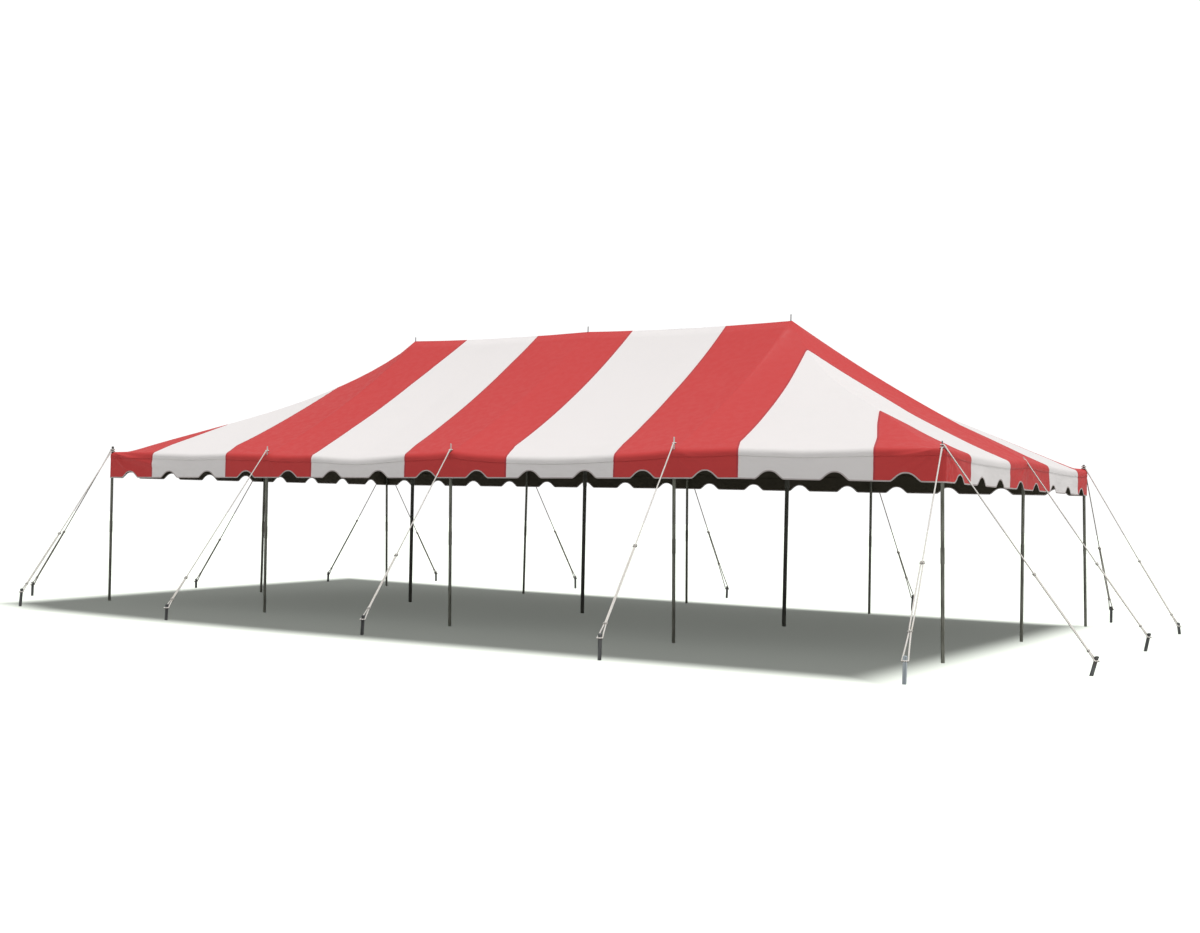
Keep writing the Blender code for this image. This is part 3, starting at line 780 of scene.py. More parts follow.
def row_insets():
    """Distances in from the eave of the rows of the roof: close at the rounded edge, wider up the slope."""
    rounding = [EAVE_RADIUS * (step / EDGE_ROWS) ** 2 for step in range(EDGE_ROWS + 1)]
    gaps = [min(ROW_GROWTH**step, 4.2) for step in range(ROOF_ROWS)]
    unit = (HALF_WIDTH - EAVE_RADIUS) / sum(gaps)
    rest = np.cumsum(gaps) * unit + EAVE_RADIUS
    return np.array(rounding + rest.tolist())


def roof_grid(side_index, name, half, to_plan):
    columns = side_columns(half, ROOF_COLUMN, CORNER_COLUMN)
    insets = row_insets()
    hem = np.array([-HEM_DROP, -HEM_DROP / 2])
    rows = np.concatenate([hem, insets])
    inset = np.clip(rows, 0.0, None)[:, None] * np.ones(len(columns))
    drop = np.clip(-rows, 0.0, None)[:, None] * np.ones(len(columns))
    along = narrowed(columns[None, :], inset, half)
    height = slope_height(along, inset, half, settle(EAVE_SETTLE, name, along)) - edge_drop(inset) - drop
    x, y = to_plan(along, inset)
    height = height + swell(x, y, inset)
    stripe = stripe_field(x, y)
    x, y = rounded_plan(x, y)
    points = np.stack([x + peak_pull(x, height), y, height], axis=2)
    slope = np.where(rows < 0, rows, 0)[:, None] + np.where(inset > 0, inset * 1.12 + EAVE_RADIUS * 0.4, 0)
    lift = fold_field(side_index, name, half, along, slope) + crumple(name, side_index, along, slope)
    lift *= smooth(0.0, 0.15, half - inset - np.abs(along)) * 0.9 + 0.1 * (inset < EAVE_RADIUS)
    normals = grid_normals(points)
    seam = smooth(0.0, 0.05, half - inset - np.abs(along))[:, :, None]
    points = points + normals * lift[:, :, None] * seam
    return points, stripe, np.stack([along, slope], axis=2)


def valance_top(name, along, half):
    return slope_height(along, np.zeros(along.shape), half, settle(EAVE_SETTLE, name, along)) - EAVE_RADIUS


def notch_lift(name, along, half):
    reach = half - CANOPY_MARGIN
    middles = -reach + (np.arange(int(round(2 * reach / NOTCH_PITCH))) + 0.5) * NOTCH_PITCH
    shifts = NOTCH_SHIFTS.get(name, {})
    lift = np.zeros(along.shape)
    for index, middle in enumerate(middles):
        offset = (along - middle - shifts.get(index, 0.0)) / NOTCH_HALF_WIDTH
        lift += NOTCH_HEIGHT * np.clip(1 - np.abs(offset) ** NOTCH_POWER, 0, 1) ** NOTCH_EASE
    return lift


def valance_grid(side_index, name, half, to_plan):
    columns = side_columns(half, VALANCE_COLUMN, CORNER_COLUMN * 0.6)
    part = np.linspace(0.0, 1.0, VALANCE_ROWS)[:, None] * np.ones(len(columns))
    along = columns[None, :] * np.ones((VALANCE_ROWS, 1))
    edge = valance_top(name, along, half)
    top = edge - HEM_DROP + HEM_OVERLAP
    bottom = settle(HEM_HEIGHTS, name, along) + notch_lift(name, along, half)
    height = bottom + (top - bottom) * part
    up = height - edge
    x, y = to_plan(along, np.zeros(along.shape))
    stripe = stripe_field(x, y)
    x, y = rounded_plan(x, y)
    points = np.stack([x, y, height], axis=2)
    normals = grid_normals(points)
    lift = fold_field(side_index, name, half, along, up) + crumple(name, side_index, along, up)
    lift += crease_lines(name, along, up)
    seam = smooth(0.0, 0.05, half - np.abs(along))
    points = points + normals * (lift * seam - VALANCE_INSET)[:, :, None]
    return points, stripe, np.stack([along, up], axis=2)


def build_canopy(materials):
    roof_parts = [roof_grid(index, name, half, plan) for index, (name, half, plan) in enumerate(SIDES)]
    roof = cloth_object("canopy_top", roof_parts, (materials["striped_vinyl"], materials["canopy_underside"]))
    valance_parts = [valance_grid(index, name, half, plan) for index, (name, half, plan) in enumerate(SIDES)]
    border = cloth_object("valance", valance_parts, (materials["striped_vinyl"], materials["canopy_underside"]))
    for obj in (roof, border):
        thick = obj.modifiers.new("cloth_thickness", "SOLIDIFY")
        thick.thickness = CLOTH_THICKNESS
        thick.offset = -1
        thick.material_offset = 1
        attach(obj, "root")
    binding = build_binding(valance_parts, materials["binding_tape"])
    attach(binding, "root")
    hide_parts(*[f"roof_slope_{name}" for name in ("front", "back", "left_end", "right_end")])
    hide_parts(*[f"valance_{name}" for name in ("front", "back", "left_end", "right_end")])
    return roof, border, binding


def build_binding(parts, material):
    """Folded tape over the notched lower edge, all round the tent."""
    loop = np.concatenate([points[0, :-1] for points, stripe, place in parts])
    above = np.concatenate([points[1, :-1] for points, stripe, place in parts])
    ahead = np.roll(loop, -1, axis=0) - np.roll(loop, 1, axis=0)
    tangent = ahead / np.linalg.norm(ahead, axis=1, keepdims=True)
    up = above - loop
    outward = np.cross(tangent, up)
    outward /= np.maximum(np.linalg.norm(outward, axis=1, keepdims=True), 1e-9)
    inward = np.cross(outward, tangent)
    front = BINDING_LIFT
    back = -CLOTH_THICKNESS - BINDING_LIFT
    profile = (
        (BINDING_WIDTH, front * 0.2),
        (BINDING_WIDTH - 0.001, front),
        (0.000, front),
        (-0.0012, front * 0.3),
        (-0.0012, back * 0.6),
        (0.000, back),
        (BINDING_WIDTH - 0.001, back),
        (BINDING_WIDTH, back + front * 0.8),
    )
    points = []
    for reach, lift in profile:
        points.append(loop + inward * reach + outward * lift)
    points = np.stack(points, axis=1).reshape(-1, 3)
    count, sides = len(loop), len(profile)
    faces = []
    for step in range(count):
        after = (step + 1) % count
        for side in range(sides):
            other = (side + 1) % sides
            faces.append((step * sides + side, step * sides + other, after * sides + other, after * sides + side))
    return new_mesh_object("valance_binding", points, faces, (material,), 40)


# Round pieces


def turned_points(profile, sides, x, y, lean=(0.0, 0.0)):
    """Points and faces of a solid turned round a leaning axis, from (radius, height) pairs from top to bottom."""
    points, faces = [], []
    for radius, height in profile:
        for step in range(sides):
            angle = 2 * math.pi * step / sides
            px = x + radius * math.cos(angle) + lean[0] * height
            py = y + radius * math.sin(angle) + lean[1] * height
            points.append((px, py, height))
    for row in range(len(profile) - 1):
        for step in range(sides):
            after = (step + 1) % sides
            a, b = row * sides + step, row * sides + after
            faces.append((a, a + sides, b + sides, b))
    faces.append(tuple(range(sides)))
    last = (len(profile) - 1) * sides
    faces.append(tuple(range(last + sides - 1, last - 1, -1)))
    return points, faces


POLE_SIDES = 28


def pole_piece(name, foot, lean, tube_radius, sleeve_radius, sleeve_height, shoulder, pin_radius, pin_top, materials):
    """A tube with a sleeved joint, crimped over a pin that stands out of its top."""
    top = sleeve_height + SLEEVE_LENGTH / 2
    bottom = sleeve_height - SLEEVE_LENGTH / 2
    radius = tube_radius
    tube = (
        (radius * 0.55, shoulder),
        (radius * 0.90, shoulder - 0.001),
        (radius * 0.985, shoulder - 0.003),
        (radius, shoulder - 0.007),
        (radius, top + 0.002),
        (sleeve_radius - 0.0006, top),
        (sleeve_radius, top - 0.002),
        (sleeve_radius, bottom + 0.002),
        (sleeve_radius - 0.0006, bottom),
        (radius - 0.0003, bottom - 0.001),
        (radius, bottom - 0.012),
        (radius, 0.004),
        (radius - 0.001, 0.0012),
        (radius - 0.0025, 0.0),
        (radius * 0.55, 0.0),
    )
    pin = (
        (pin_radius * 0.30, pin_top),
        (pin_radius * 0.70, pin_top - pin_radius * 0.10),
        (pin_radius * 0.93, pin_top - pin_radius * 0.30),
        (pin_radius, pin_top - pin_radius * 0.60),
        (pin_radius, shoulder - 0.004),
        (pin_radius * 0.6, shoulder - 0.004),
    )
    points, faces = turned_points(tube, POLE_SIDES, foot[0], foot[1], (lean, 0.0))
    pin_points, pin_faces = turned_points(pin, 16, foot[0], foot[1], (lean, 0.0))
    shift = len(points)
    all_faces = faces + [tuple(corner + shift for corner in face) for face in pin_faces]
    obj = new_mesh_object(name, points + pin_points, all_faces, materials, 35)
    kinds = [0] * len(faces) + [1] * len(pin_faces)
    obj.data.polygons.foreach_set("material_index", kinds)
    return obj


def roof_over(x, y):
    """Height of the cloth over a place in plan."""
    in_x = HALF_LENGTH - abs(x)
    in_y = HALF_WIDTH - abs(y)
    if in_y <= in_x:
        name, along, half, inset = ("front", x, HALF_LENGTH, in_y) if y < 0 else ("back", -x, HALF_LENGTH, in_y)
    else:
        name, along, half, inset = ("right_end", y, HALF_WIDTH, in_x) if x > 0 else ("left_end", -y, HALF_WIDTH, in_x)
    along, inset = np.array(along), np.array(inset)
    return float(slope_height(along, inset, half, settle(EAVE_SETTLE, name, along)) - edge_drop(inset))


def build_poles(materials):
    pieces = []
    for name, bay_x, bay_y, foot_shift, pin_top, capped in SIDE_POLES:
        x, y = bay_x * BAY, bay_y * BAY
        top_shift = TOP_SHIFTS.get(name, 0.0)
        corner = abs(bay_x) == 2 and abs(bay_y) == 1
        pin = CAPPED_PIN_RADIUS if capped else PIN_RADIUS if corner else PALE_PIN_RADIUS
        piece = pole_piece(
            f"pole_{name}",
            (x + foot_shift, y),
            (top_shift - foot_shift) / EAVE_HEIGHT,
            SIDE_POLE_RADIUS,
            SIDE_SLEEVE_RADIUS,
            SLEEVE_HEIGHT,
            roof_over(x, y) - POLE_BELOW_CLOTH,
            pin,
            pin_top,
            (materials["pole_steel"], materials["pin_steel" if corner else "pin_pale"]),
        )
        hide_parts(f"side_pole_{name}")
        pieces.append(piece)
    for name, bay_x, pin_top in CENTRE_POLES:
        x = bay_x * BAY
        piece = pole_piece(
            f"ridge_pole_{name}",
            (x, 0.0),
            POLE_LEAN_SHARE * float(peak_pull(np.array(x), PEAK_HEIGHT)) / PEAK_HEIGHT,
            CENTRE_POLE_RADIUS,
            CENTRE_SLEEVE_RADIUS,
            CENTRE_SLEEVE_HEIGHT,
            PEAK_HEIGHT - POLE_BELOW_CLOTH * 1.5,
            PIN_RADIUS,
            pin_top,
            (materials["pole_dark"], materials["pin_steel"]),
        )
        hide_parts(f"centre_pole_{name}")
        pieces.append(piece)
    for piece in pieces:
        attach(piece, "root")


# Ropes


def resampled(points, step):
    """Points an even distance apart on a smooth curve through the given ones."""
    points = [Vector(p) for p in points]
    padded = [2 * points[0] - points[1]] + points + [2 * points[-1] - points[-2]]
    fine = []
    for before, start, end, after in zip(padded, padded[1:], padded[2:], padded[3:]):
        span = (end - start).length
        count = max(2, int(span / step * 1.5))
        count = min(count, 400)
        for index in range(count):
            t = index / count
            bend = 0.5
            pull_start = (end - before) * bend
            pull_end = (after - start) * bend
            reach = span / max((end - before).length, (after - start).length, 1e-6)
            pull_start *= min(1.0, 2 * reach)
            pull_end *= min(1.0, 2 * reach)
            h1 = 2 * t**3 - 3 * t**2 + 1
            h2 = t**3 - 2 * t**2 + t
            h3 = -2 * t**3 + 3 * t**2
            h4 = t**3 - t**2
            fine.append(h1 * start + h2 * pull_start + h3 * end + h4 * pull_end)
    fine.append(points[-1])
    fine = np.array([tuple(p) for p in fine])
    gaps = np.linalg.norm(np.diff(fine, axis=0), axis=1)
    length = np.concatenate([[0], np.cumsum(gaps)])
    count = max(3, int(round(length[-1] / step)) + 1)
    places = np.linspace(0, length[-1], count)
    return np.stack([np.interp(places, length, fine[:, axis]) for axis in range(3)], axis=1), places


LOBE = (1.0, 0.86, 0.64, 0.86)


def rope_mesh(path, places, radius, swell=None, phase=0.0, closed=False):
    """Three twisted strands along a path: points and faces."""
    count = len(path)
    if closed:
        ahead = np.roll(path, -1, axis=0) - np.roll(path, 1, axis=0)
    else:
        ahead = np.gradient(path, axis=0)
    tangent = ahead / np.maximum(np.linalg.norm(ahead, axis=1, keepdims=True), 1e-9)
    side = np.zeros((count, 3))
    start = np.cross(tangent[0], (0, 0, 1))
    if np.linalg.norm(start) < 0.1:
        start = np.cross(tangent[0], (1, 0, 0))
    side[0] = start / np.linalg.norm(start)
    for index in range(1, count):
        moved = side[index - 1] - tangent[index] * np.dot(side[index - 1], tangent[index])
        side[index] = moved / max(np.linalg.norm(moved), 1e-9)
    other = np.cross(tangent, side)
    turn = 2 * math.pi * places / ROPE_LAY + phase
    points = np.zeros((count, ROPE_SIDES, 3))
    for step in range(ROPE_SIDES):
        angle = 2 * math.pi * step / ROPE_SIDES
        reach = radius * LOBE[step % len(LOBE)]
        size = reach if swell is None else reach * swell
        size = np.broadcast_to(size, (count,))
        points[:, step] = path + (
            side * (np.cos(angle + turn) * size)[:, None] + other * (np.sin(angle + turn) * size)[:, None]
        )
    faces = []
    last = count if closed else count - 1
    for ring in range(last):
        after = (ring + 1) % count
        for step in range(ROPE_SIDES):
            beside = (step + 1) % ROPE_SIDES
            faces.append(
                (
                    ring * ROPE_SIDES + step,
                    ring * ROPE_SIDES + beside,
                    after * ROPE_SIDES + beside,
                    after * ROPE_SIDES + step,
                )
            )
    if not closed:
        faces.append(tuple(range(ROPE_SIDES - 1, -1, -1)))
        faces.append(tuple((count - 1) * ROPE_SIDES + step for step in range(ROPE_SIDES)))
    return points.reshape(-1, 3), faces


def joined_meshes(parts):
    points, faces = [], []
    first = 0
    for part_points, part_faces in parts:
        points.append(np.asarray(part_points, float).reshape(-1, 3))
        faces += [tuple(corner + first for corner in face) for face in part_faces]
        first += len(part_points)
    return np.concatenate(points), faces


def coil_path(centre, axis, side, wide, narrow, pitch, turns):
    """A helix round an axis, wider towards one side."""
    axis = Vector(axis).normalized()
    side = (side - axis * side.dot(axis)).normalized()
    other = axis.cross(side)
    steps = int(turns * 16) + 1
    points = []
    for step in range(steps):
        part = step / (steps - 1)
        angle = part * turns * 2 * math.pi
        rise = (part - 0.5) * pitch * turns
        points.append(
            Vector(centre) + axis * rise + side * (math.cos(angle) * wide) + other * (math.sin(angle) * narrow)
        )
    return points


def straight_rope(points, radius=ROPE_RADIUS, step=ROPE_STEP, swell_start=0.0, phase=0.0):
    path, places = resampled(points, step)
    swelling = None
    if swell_start:
        swelling = 1 + swell_start * smooth(0.16, 0.02, places) * smooth(-0.01, 0.01, places)
    return rope_mesh(path, places, radius, swelling, phase)


def eye_ring(eye, flat, side, ring):
    """The spliced eye that lies round the pin."""
    angles = np.linspace(0, 2 * math.pi, 25)[:-1]
    circle = np.array([tuple(eye + side * math.sin(t) * ring + flat * math.cos(t) * ring) for t in angles])
    round_length = 2 * math.pi * ring
    lays = max(1, round(round_length / ROPE_LAY)) * ROPE_LAY / round_length
    places = np.arange(len(circle)) * (round_length / len(circle)) * lays
    return rope_mesh(circle, places, ROPE_RADIUS, closed=True)


def strand_path(slide, knot, loop, down, side, flat, spread, around):
    """Down one strand from the tensioner, through the knot, round the stake and back up beside it."""
    close = ROPE_RADIUS + 0.0004
    wide = slide.lerp(knot, 0.5)
    near = loop.lerp(knot, 0.30)
    one_way = [
        (slide - down * 0.012, close),
        (slide + down * 0.050, spread * 0.8),
        (wide, spread),
        (knot - down * 0.055, spread * 0.85),
        (knot, close),
        (near, (close + around) * 0.56),
    ]
    points = [place + side * gap for place, gap in one_way]
    for step in range(9):
        angle = math.pi * (0.5 - step / 8)
        points.append(loop + side * math.sin(angle) * around + flat * math.cos(angle) * around)
    points += [place - side * gap for place, gap in reversed(one_way)]
    return points


def build_guys(materials):
    poles = {entry[0]: entry for entry in SIDE_POLES}
    for order, (name, pole, x, y, height, lean_x, lean_y, stack) in enumerate(STAKES):
        slide_part, knot_part, spread, ridden = ROPE_FITTINGS[name]
        bay_x, bay_y, capped = poles[pole][1], poles[pole][2], poles[pole][5]
        corner = abs(bay_x) == 2 and abs(bay_y) == 1
        pin = CAPPED_PIN_RADIUS if capped else PIN_RADIUS if corner else PALE_PIN_RADIUS
        pole_x, pole_y = bay_x * BAY + TOP_SHIFTS.get(pole, 0.0), bay_y * BAY
        eye = Vector((pole_x, pole_y, EAVE_HEIGHT + EYE_LIFT + stack * ROPE_STACK + ridden))
        loop_height = height - LOOP_DROP
        loop = Vector((x + lean_x * loop_height, y + lean_y * loop_height, loop_height))
        slide = eye.lerp(loop, slide_part)
        knot = eye.lerp(loop, knot_part)
        flat = Vector((loop.x - eye.x, loop.y - eye.y, 0)).normalized()
        side = Vector((-flat.y, flat.x, 0))
        down = (loop - slide).normalized()
        ring = pin + ROPE_RADIUS + 0.0010
        around = STAKE_RADIUS + ROPE_RADIUS + 0.0006
        parts = [eye_ring(eye, flat, side, ring)]
        parts.append(straight_rope([eye + flat * ring, slide + down * 0.02], swell_start=0.30, phase=order))
        strands = strand_path(slide, knot, loop, down, side, flat, spread, around)
        parts.append(straight_rope(strands, phase=order * 0.7))
        wide = 2 * ROPE_RADIUS + KNOT_ROPE_RADIUS * 0.6
        narrow = ROPE_RADIUS + KNOT_ROPE_RADIUS * 0.8
        for place, turns in ((slide + down * 0.004, 2.6), (knot, 1.8)):
            wound = coil_path(place, down, side, wide, narrow, KNOT_ROPE_RADIUS * 2.05, turns)
            parts.append(straight_rope(wound, KNOT_ROPE_RADIUS, 0.004))
        rope = new_mesh_object(f"rope_{name}", *joined_meshes(parts), (materials["laid_rope"],))
        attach(rope, "root")
        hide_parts(f"guy_rope_{name}")


def build_stakes(materials):
    for name, pole, x, y, height, lean_x, lean_y, stack in STAKES:
        under_head = height - STAKE_HEAD_HEIGHT
        profile = (
            (STAKE_HEAD_RADIUS * 0.15, height),
            (STAKE_HEAD_RADIUS * 0.50, height - 0.0012),
            (STAKE_HEAD_RADIUS * 0.80, height - 0.0045),
            (STAKE_HEAD_RADIUS * 0.96, height - 0.010),
            (STAKE_HEAD_RADIUS, height - 0.015),
            (STAKE_HEAD_RADIUS * 0.97, under_head + 0.002),
            (STAKE_RADIUS + 0.001, under_head),
            (STAKE_RADIUS, under_head - 0.004),
            (STAKE_RADIUS, 0.0),
        )
        points, faces = turned_points(profile, 24, x, y, (lean_x, lean_y))
        finish = "stake_bright" if name == "front_5" else "stake_steel"
        stake = new_mesh_object(f"peg_{name}", points, faces, (materials[finish],), 40)
        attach(stake, "root")
        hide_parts(f"stake_{name}")


# Materials


def node_group(name, inputs, outputs):
    """An empty shader node group with named sockets: (name, type, default) in, (name, type) out."""
    group = bpy.data.node_groups.new(name, "ShaderNodeTree")
    for socket, kind, value in inputs:
        made = group.interface.new_socket(name=socket, in_out="INPUT", socket_type=kind)
        made.default_value = value
    for socket, kind in outputs:
        group.interface.new_socket(name=socket, in_out="OUTPUT", socket_type=kind)
    return group, group.nodes.new("NodeGroupInput"), group.nodes.new("NodeGroupOutput")


def maths(tree, operation, first, second=None, clamp=False):
    node = tree.nodes.new("ShaderNodeMath")
    node.operation = operation
    node.use_clamp = clamp
    for socket, value in zip(node.inputs, (first, second)):
        if value is None:
            continue
        if isinstance(value, (int, float)):
            socket.default_value = value
        else:
            tree.links.new(value, socket)
    return node.outputs["Value"]


def mixed(tree, factor, first, second, blend="MIX"):
    node = tree.nodes.new("ShaderNodeMix")
    node.data_type = "RGBA"
    node.blend_type = blend
    for socket, value in ((node.inputs[0], factor), (node.inputs[6], first), (node.inputs[7], second)):
        if isinstance(value, (int, float)):
            socket.default_value = value
        elif isinstance(value, tuple):
            socket.default_value = value
        else:
            tree.links.new(value, socket)
    return node.outputs[2]


def ranged(tree, value, low, high, new_low=0.0, new_high=1.0, kind="SMOOTHSTEP"):
    node = tree.nodes.new("ShaderNodeMapRange")
    node.interpolation_type = kind
    tree.links.new(value, node.inputs["Value"])
    node.inputs["From Min"].default_value = low
    node.inputs["From Max"].default_value = high
    node.inputs["To Min"].default_value = new_low
    node.inputs["To Max"].default_value = new_high
    return node.outputs["Result"]


def clouds(tree, vector, scale, detail=3.0, stretch=None):
    if stretch is not None:
        mapping = tree.nodes.new("ShaderNodeMapping")
        mapping.inputs["Scale"].default_value = stretch
        tree.links.new(vector, mapping.inputs["Vector"])
        vector = mapping.outputs["Vector"]
    node = tree.nodes.new("ShaderNodeTexNoise")
    node.inputs["Scale"].default_value = scale
    node.inputs["Detail"].default_value = detail
    tree.links.new(vector, node.inputs["Vector"])
    return node.outputs["Fac"]


def stripe_group():
    """Masks of the sewn stripes: which panels are white, and the lapped seam beside each boundary."""
    group, given, result = node_group(
        "sewn_stripes",
        (("Stripe", "NodeSocketFloat", 0.0),),
        (("White", "NodeSocketFloat"), ("Seam", "NodeSocketFloat"), ("Stitch", "NodeSocketFloat")),
    )
    shifted = maths(group, "ADD", given.outputs["Stripe"], STRIPE_WIDTH / 2)
    wrapped = maths(group, "WRAP", shifted, 2 * STRIPE_WIDTH)
    group.nodes[-1].inputs[2].default_value = 0.0
    white = maths(group, "GREATER_THAN", wrapped, STRIPE_WIDTH)
    half = maths(group, "WRAP", wrapped, STRIPE_WIDTH)
    group.nodes[-1].inputs[2].default_value = 0.0
    middle = maths(group, "SUBTRACT", half, STRIPE_WIDTH / 2)
    from_edge = maths(group, "SUBTRACT", STRIPE_WIDTH / 2, maths(group, "ABSOLUTE", middle))
    seam = ranged(group, from_edge, 0.020, 0.026, 1.0, 0.0)
    near = maths(group, "ABSOLUTE", maths(group, "SUBTRACT", from_edge, 0.020))
    stitch = ranged(group, near, 0.0010, 0.0030, 1.0, 0.0)
    group.links.new(white, result.inputs["White"])
    group.links.new(seam, result.inputs["Seam"])
    group.links.new(stitch, result.inputs["Stitch"])
    return group


def weave_group():
    """The cloth that shows faintly through a coated fabric, from the place on the flat cloth in metres."""
    group, given, result = node_group(
        "scrim_weave",
        (("Place", "NodeSocketVector", (0, 0, 0)), ("Threads", "NodeSocketFloat", 500.0)),
        (("Height", "NodeSocketFloat"),),
    )
    split = group.nodes.new("ShaderNodeSeparateXYZ")
    group.links.new(given.outputs["Place"], split.inputs["Vector"])
    heights = []
    for axis in ("X", "Y"):
        turned = maths(group, "MULTIPLY", split.outputs[axis], given.outputs["Threads"])
        angle = maths(group, "MULTIPLY", turned, 2 * math.pi)
        heights.append(maths(group, "SINE", angle))
    total = maths(group, "MAXIMUM", heights[0], heights[1])
    group.links.new(maths(group, "MULTIPLY", total, 0.5), result.inputs["Height"])
    return group


def grime_group():
    """Soft uneven dirt: a mask from object coordinates."""
    group, given, result = node_group(
        "grime",
        (("Vector", "NodeSocketVector", (0, 0, 0)), ("Size", "NodeSocketFloat", 1.0), ("Cover", "NodeSocketFloat", 0.5)),
        (("Mask", "NodeSocketFloat"), ("Fine", "NodeSocketFloat")),
    )
    broad = group.nodes.new("ShaderNodeTexNoise")
    broad.inputs["Detail"].default_value = 5.0
    broad.inputs["Roughness"].default_value = 0.62
    fine = group.nodes.new("ShaderNodeTexNoise")
    fine.inputs["Detail"].default_value = 4.0
    group.links.new(given.outputs["Vector"], broad.inputs["Vector"])
    group.links.new(given.outputs["Vector"], fine.inputs["Vector"])
    group.links.new(given.outputs["Size"], broad.inputs["Scale"])
    group.links.new(maths(group, "MULTIPLY", given.outputs["Size"], 9.0), fine.inputs["Scale"])
    raised = maths(group, "SUBTRACT", broad.outputs["Fac"], maths(group, "SUBTRACT", 1.0, given.outputs["Cover"]))
    mask = maths(group, "MULTIPLY", raised, 3.0, clamp=True)
    group.links.new(mask, result.inputs["Mask"])
    group.links.new(fine.outputs["Fac"], result.inputs["Fine"])
    return group


def placed_group(tree, group, **values):
    node = tree.nodes.new("ShaderNodeGroup")
    node.node_tree = group
    for socket, value in values.items():
        if isinstance(value, (int, float)):
            node.inputs[socket].default_value = value
        else:
            tree.links.new(value, node.inputs[socket])
    return node


def new_material(name):
    material = bpy.data.materials.new(name)
    material.use_nodes = True
    return material, material.node_tree, material.node_tree.nodes["Principled BSDF"]


def bumped(tree, shader, height, strength, distance):
    bump = tree.nodes.new("ShaderNodeBump")
    bump.inputs["Strength"].default_value = strength
    bump.inputs["Distance"].default_value = distance
    tree.links.new(height, bump.inputs["Height"])
    tree.links.new(bump.outputs["Normal"], shader.inputs["Normal"])


def object_place(tree):
    return tree.nodes.new("ShaderNodeTexCoord").outputs["Object"]


VINYL_RED = (0.600, 0.057, 0.056, 1)
VINYL_RED_FADED = (0.622, 0.066, 0.064, 1)
VINYL_RED_SEAM = (0.470, 0.052, 0.060, 1)
VINYL_WHITE = (0.830, 0.800, 0.795, 1)
VINYL_WHITE_WORN = (0.805, 0.782, 0.775, 1)
VINYL_WHITE_SEAM = (0.860, 0.780, 0.770, 1)
DUST = (0.50, 0.48, 0.44, 1)


def striped_vinyl(groups):
    material, tree, shader = new_material("striped_vinyl")
    stripe = tree.nodes.new("ShaderNodeAttribute")
    stripe.attribute_name = "stripe"
    masks = placed_group(tree, groups["stripes"], Stripe=stripe.outputs["Fac"])
    place = object_place(tree)
    grime = placed_group(tree, groups["grime"], Vector=place, Size=1.3, Cover=0.46)
    red = mixed(tree, grime.outputs["Mask"], VINYL_RED, VINYL_RED_FADED)
    white = mixed(tree, grime.outputs["Mask"], VINYL_WHITE, VINYL_WHITE_WORN)
    red = mixed(tree, masks.outputs["Seam"], red, VINYL_RED_SEAM)
    white = mixed(tree, masks.outputs["Seam"], white, VINYL_WHITE_SEAM)
    colour = mixed(tree, masks.outputs["White"], red, white)
    dust = placed_group(tree, groups["grime"], Vector=place, Size=4.0, Cover=0.36)
    dusty = maths(tree, "MULTIPLY", dust.outputs["Mask"], 0.05)
    colour = mixed(tree, dusty, colour, DUST)
    tree.links.new(colour, shader.inputs["Base Color"])
    rough = ranged(tree, grime.outputs["Fine"], 0.3, 0.7, 0.46, 0.60)
    tree.links.new(rough, shader.inputs["Roughness"])
    shader.inputs["Specular IOR Level"].default_value = 0.16
    cloth = tree.nodes.new("ShaderNodeUVMap")
    cloth.uv_map = "cloth"
    weave = placed_group(tree, groups["weave"], Place=cloth.outputs["UV"], Threads=480.0)
    height = maths(tree, "MULTIPLY", weave.outputs["Height"], 0.10)
    height = maths(tree, "ADD", height, maths(tree, "MULTIPLY", masks.outputs["Seam"], 1.0))
    height = maths(tree, "SUBTRACT", height, maths(tree, "MULTIPLY", masks.outputs["Stitch"], 0.6))
    bumped(tree, shader, height, 0.6, 0.0012)
    return material


def canopy_underside(groups):
    material, tree, shader = new_material("canopy_underside")
    place = object_place(tree)
    grime = placed_group(tree, groups["grime"], Vector=place, Size=2.0, Cover=0.5)
    colour = mixed(tree, grime.outputs["Mask"], (0.078, 0.070, 0.050, 1), (0.100, 0.088, 0.064, 1))
    tree.links.new(colour, shader.inputs["Base Color"])
    tree.links.new(ranged(tree, grime.outputs["Fine"], 0.3, 0.7, 0.60, 0.80), shader.inputs["Roughness"])
    shader.inputs["Specular IOR Level"].default_value = 0.15
    cloth = tree.nodes.new("ShaderNodeUVMap")
    cloth.uv_map = "cloth"
    weave = placed_group(tree, groups["weave"], Place=cloth.outputs["UV"], Threads=300.0)
    bumped(tree, shader, weave.outputs["Height"], 0.3, 0.0006)
    return material


def binding_tape(groups):
    material, tree, shader = new_material("binding_tape")
    place = object_place(tree)
    grime = placed_group(tree, groups["grime"], Vector=place, Size=5.0, Cover=0.5)
    colour = mixed(tree, grime.outputs["Mask"], (0.52, 0.47, 0.46, 1), (0.42, 0.36, 0.35, 1))
    tree.links.new(colour, shader.inputs["Base Color"])
    tree.links.new(ranged(tree, grime.outputs["Fine"], 0.3, 0.7, 0.55, 0.75), shader.inputs["Roughness"])
    shader.inputs["Specular IOR Level"].default_value = 0.25
    bumped(tree, shader, clouds(tree, place, 900.0, 2.0), 0.4, 0.0004)
    return material


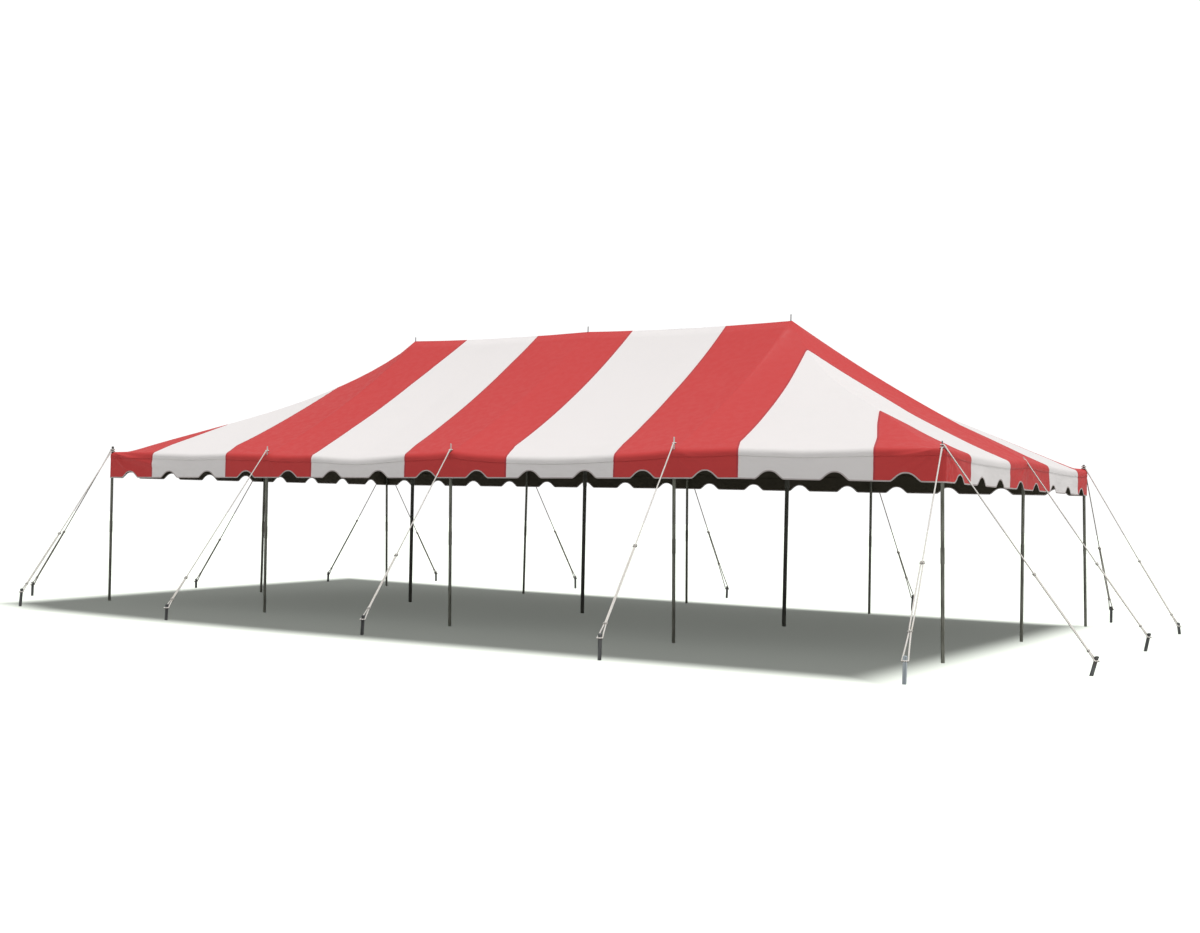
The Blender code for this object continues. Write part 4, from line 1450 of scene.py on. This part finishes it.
def steel(name, groups, dark, light, rust, roughness, metallic, stretch=(1, 1, 0.08)):
    """Weathered steel with streaks along its length and stains."""
    material, tree, shader = new_material(name)
    place = object_place(tree)
    streaks = clouds(tree, place, 60.0, 5.0, stretch)
    colour = mixed(tree, ranged(tree, streaks, 0.36, 0.64), dark, light)
    grime = placed_group(tree, groups["grime"], Vector=place, Size=7.0, Cover=0.42)
    colour = mixed(tree, grime.outputs["Mask"], colour, rust)
    tree.links.new(colour, shader.inputs["Base Color"])
    tree.links.new(ranged(tree, grime.outputs["Fine"], 0.3, 0.7, roughness - 0.08, roughness + 0.12), shader.inputs["Roughness"])
    shader.inputs["Metallic"].default_value = metallic
    bumped(tree, shader, clouds(tree, place, 180.0, 4.0), 0.25, 0.0008)
    return material


def laid_rope(groups):
    material, tree, shader = new_material("laid_rope")
    place = object_place(tree)
    grime = placed_group(tree, groups["grime"], Vector=place, Size=6.0, Cover=0.48)
    colour = mixed(tree, grime.outputs["Mask"], (0.90, 0.87, 0.83, 1), (0.78, 0.73, 0.66, 1))
    strands = clouds(tree, place, 700.0, 3.0)
    colour = mixed(tree, ranged(tree, strands, 0.35, 0.65, 0.0, 0.22), colour, (0.50, 0.46, 0.40, 1))
    # Painted shade: every downward-facing part of the rope is darkened to near black, as if in shadow
    facing = tree.nodes.new("ShaderNodeSeparateXYZ")
    tree.links.new(tree.nodes.new("ShaderNodeNewGeometry").outputs["Normal"], facing.inputs["Vector"])
    under = ranged(tree, facing.outputs["Z"], -0.50, 0.02, 1.0, 0.0)
    colour = mixed(tree, under, colour, (0.085, 0.074, 0.058, 1))
    tree.links.new(colour, shader.inputs["Base Color"])
    tree.links.new(ranged(tree, grime.outputs["Fine"], 0.3, 0.7, 0.7, 0.9), shader.inputs["Roughness"])
    shader.inputs["Specular IOR Level"].default_value = 0.2
    bumped(tree, shader, strands, 0.5, 0.0008)
    return material


def make_materials():
    groups = {"stripes": stripe_group(), "weave": weave_group(), "grime": grime_group()}
    return {
        "striped_vinyl": striped_vinyl(groups),
        "canopy_underside": canopy_underside(groups),
        "binding_tape": binding_tape(groups),
        "laid_rope": laid_rope(groups),
        "pole_steel": steel(
            "pole_steel", groups, (0.115, 0.118, 0.094, 1), (0.235, 0.240, 0.200, 1), (0.150, 0.135, 0.085, 1), 0.45, 0.30
        ),
        "pole_dark": steel(
            "pole_dark", groups, (0.042, 0.044, 0.034, 1), (0.085, 0.088, 0.070, 1), (0.060, 0.054, 0.034, 1), 0.50, 0.2
        ),
        "pin_steel": steel(
            "pin_steel", groups, (0.10, 0.105, 0.10, 1), (0.20, 0.21, 0.21, 1), (0.13, 0.11, 0.08, 1), 0.40, 0.6
        ),
        "pin_pale": steel(
            "pin_pale", groups, (0.62, 0.56, 0.52, 1), (0.78, 0.74, 0.70, 1), (0.52, 0.42, 0.36, 1), 0.50, 0.0
        ),
        "stake_steel": steel(
            "stake_steel", groups, (0.060, 0.062, 0.062, 1), (0.140, 0.145, 0.145, 1), (0.11, 0.085, 0.06, 1), 0.45, 0.5
        ),
        "stake_bright": steel(
            "stake_bright", groups, (0.30, 0.34, 0.37, 1), (0.50, 0.55, 0.58, 1), (0.26, 0.27, 0.26, 1), 0.40, 0.6
        ),
    }


add_camera()
FLOOR = add_floor()
add_light(FLOOR, add_shade())
MATERIALS = make_materials()
ROOF, VALANCE, BINDING = build_canopy(MATERIALS)
build_poles(MATERIALS)
build_guys(MATERIALS)
build_stakes(MATERIALS)
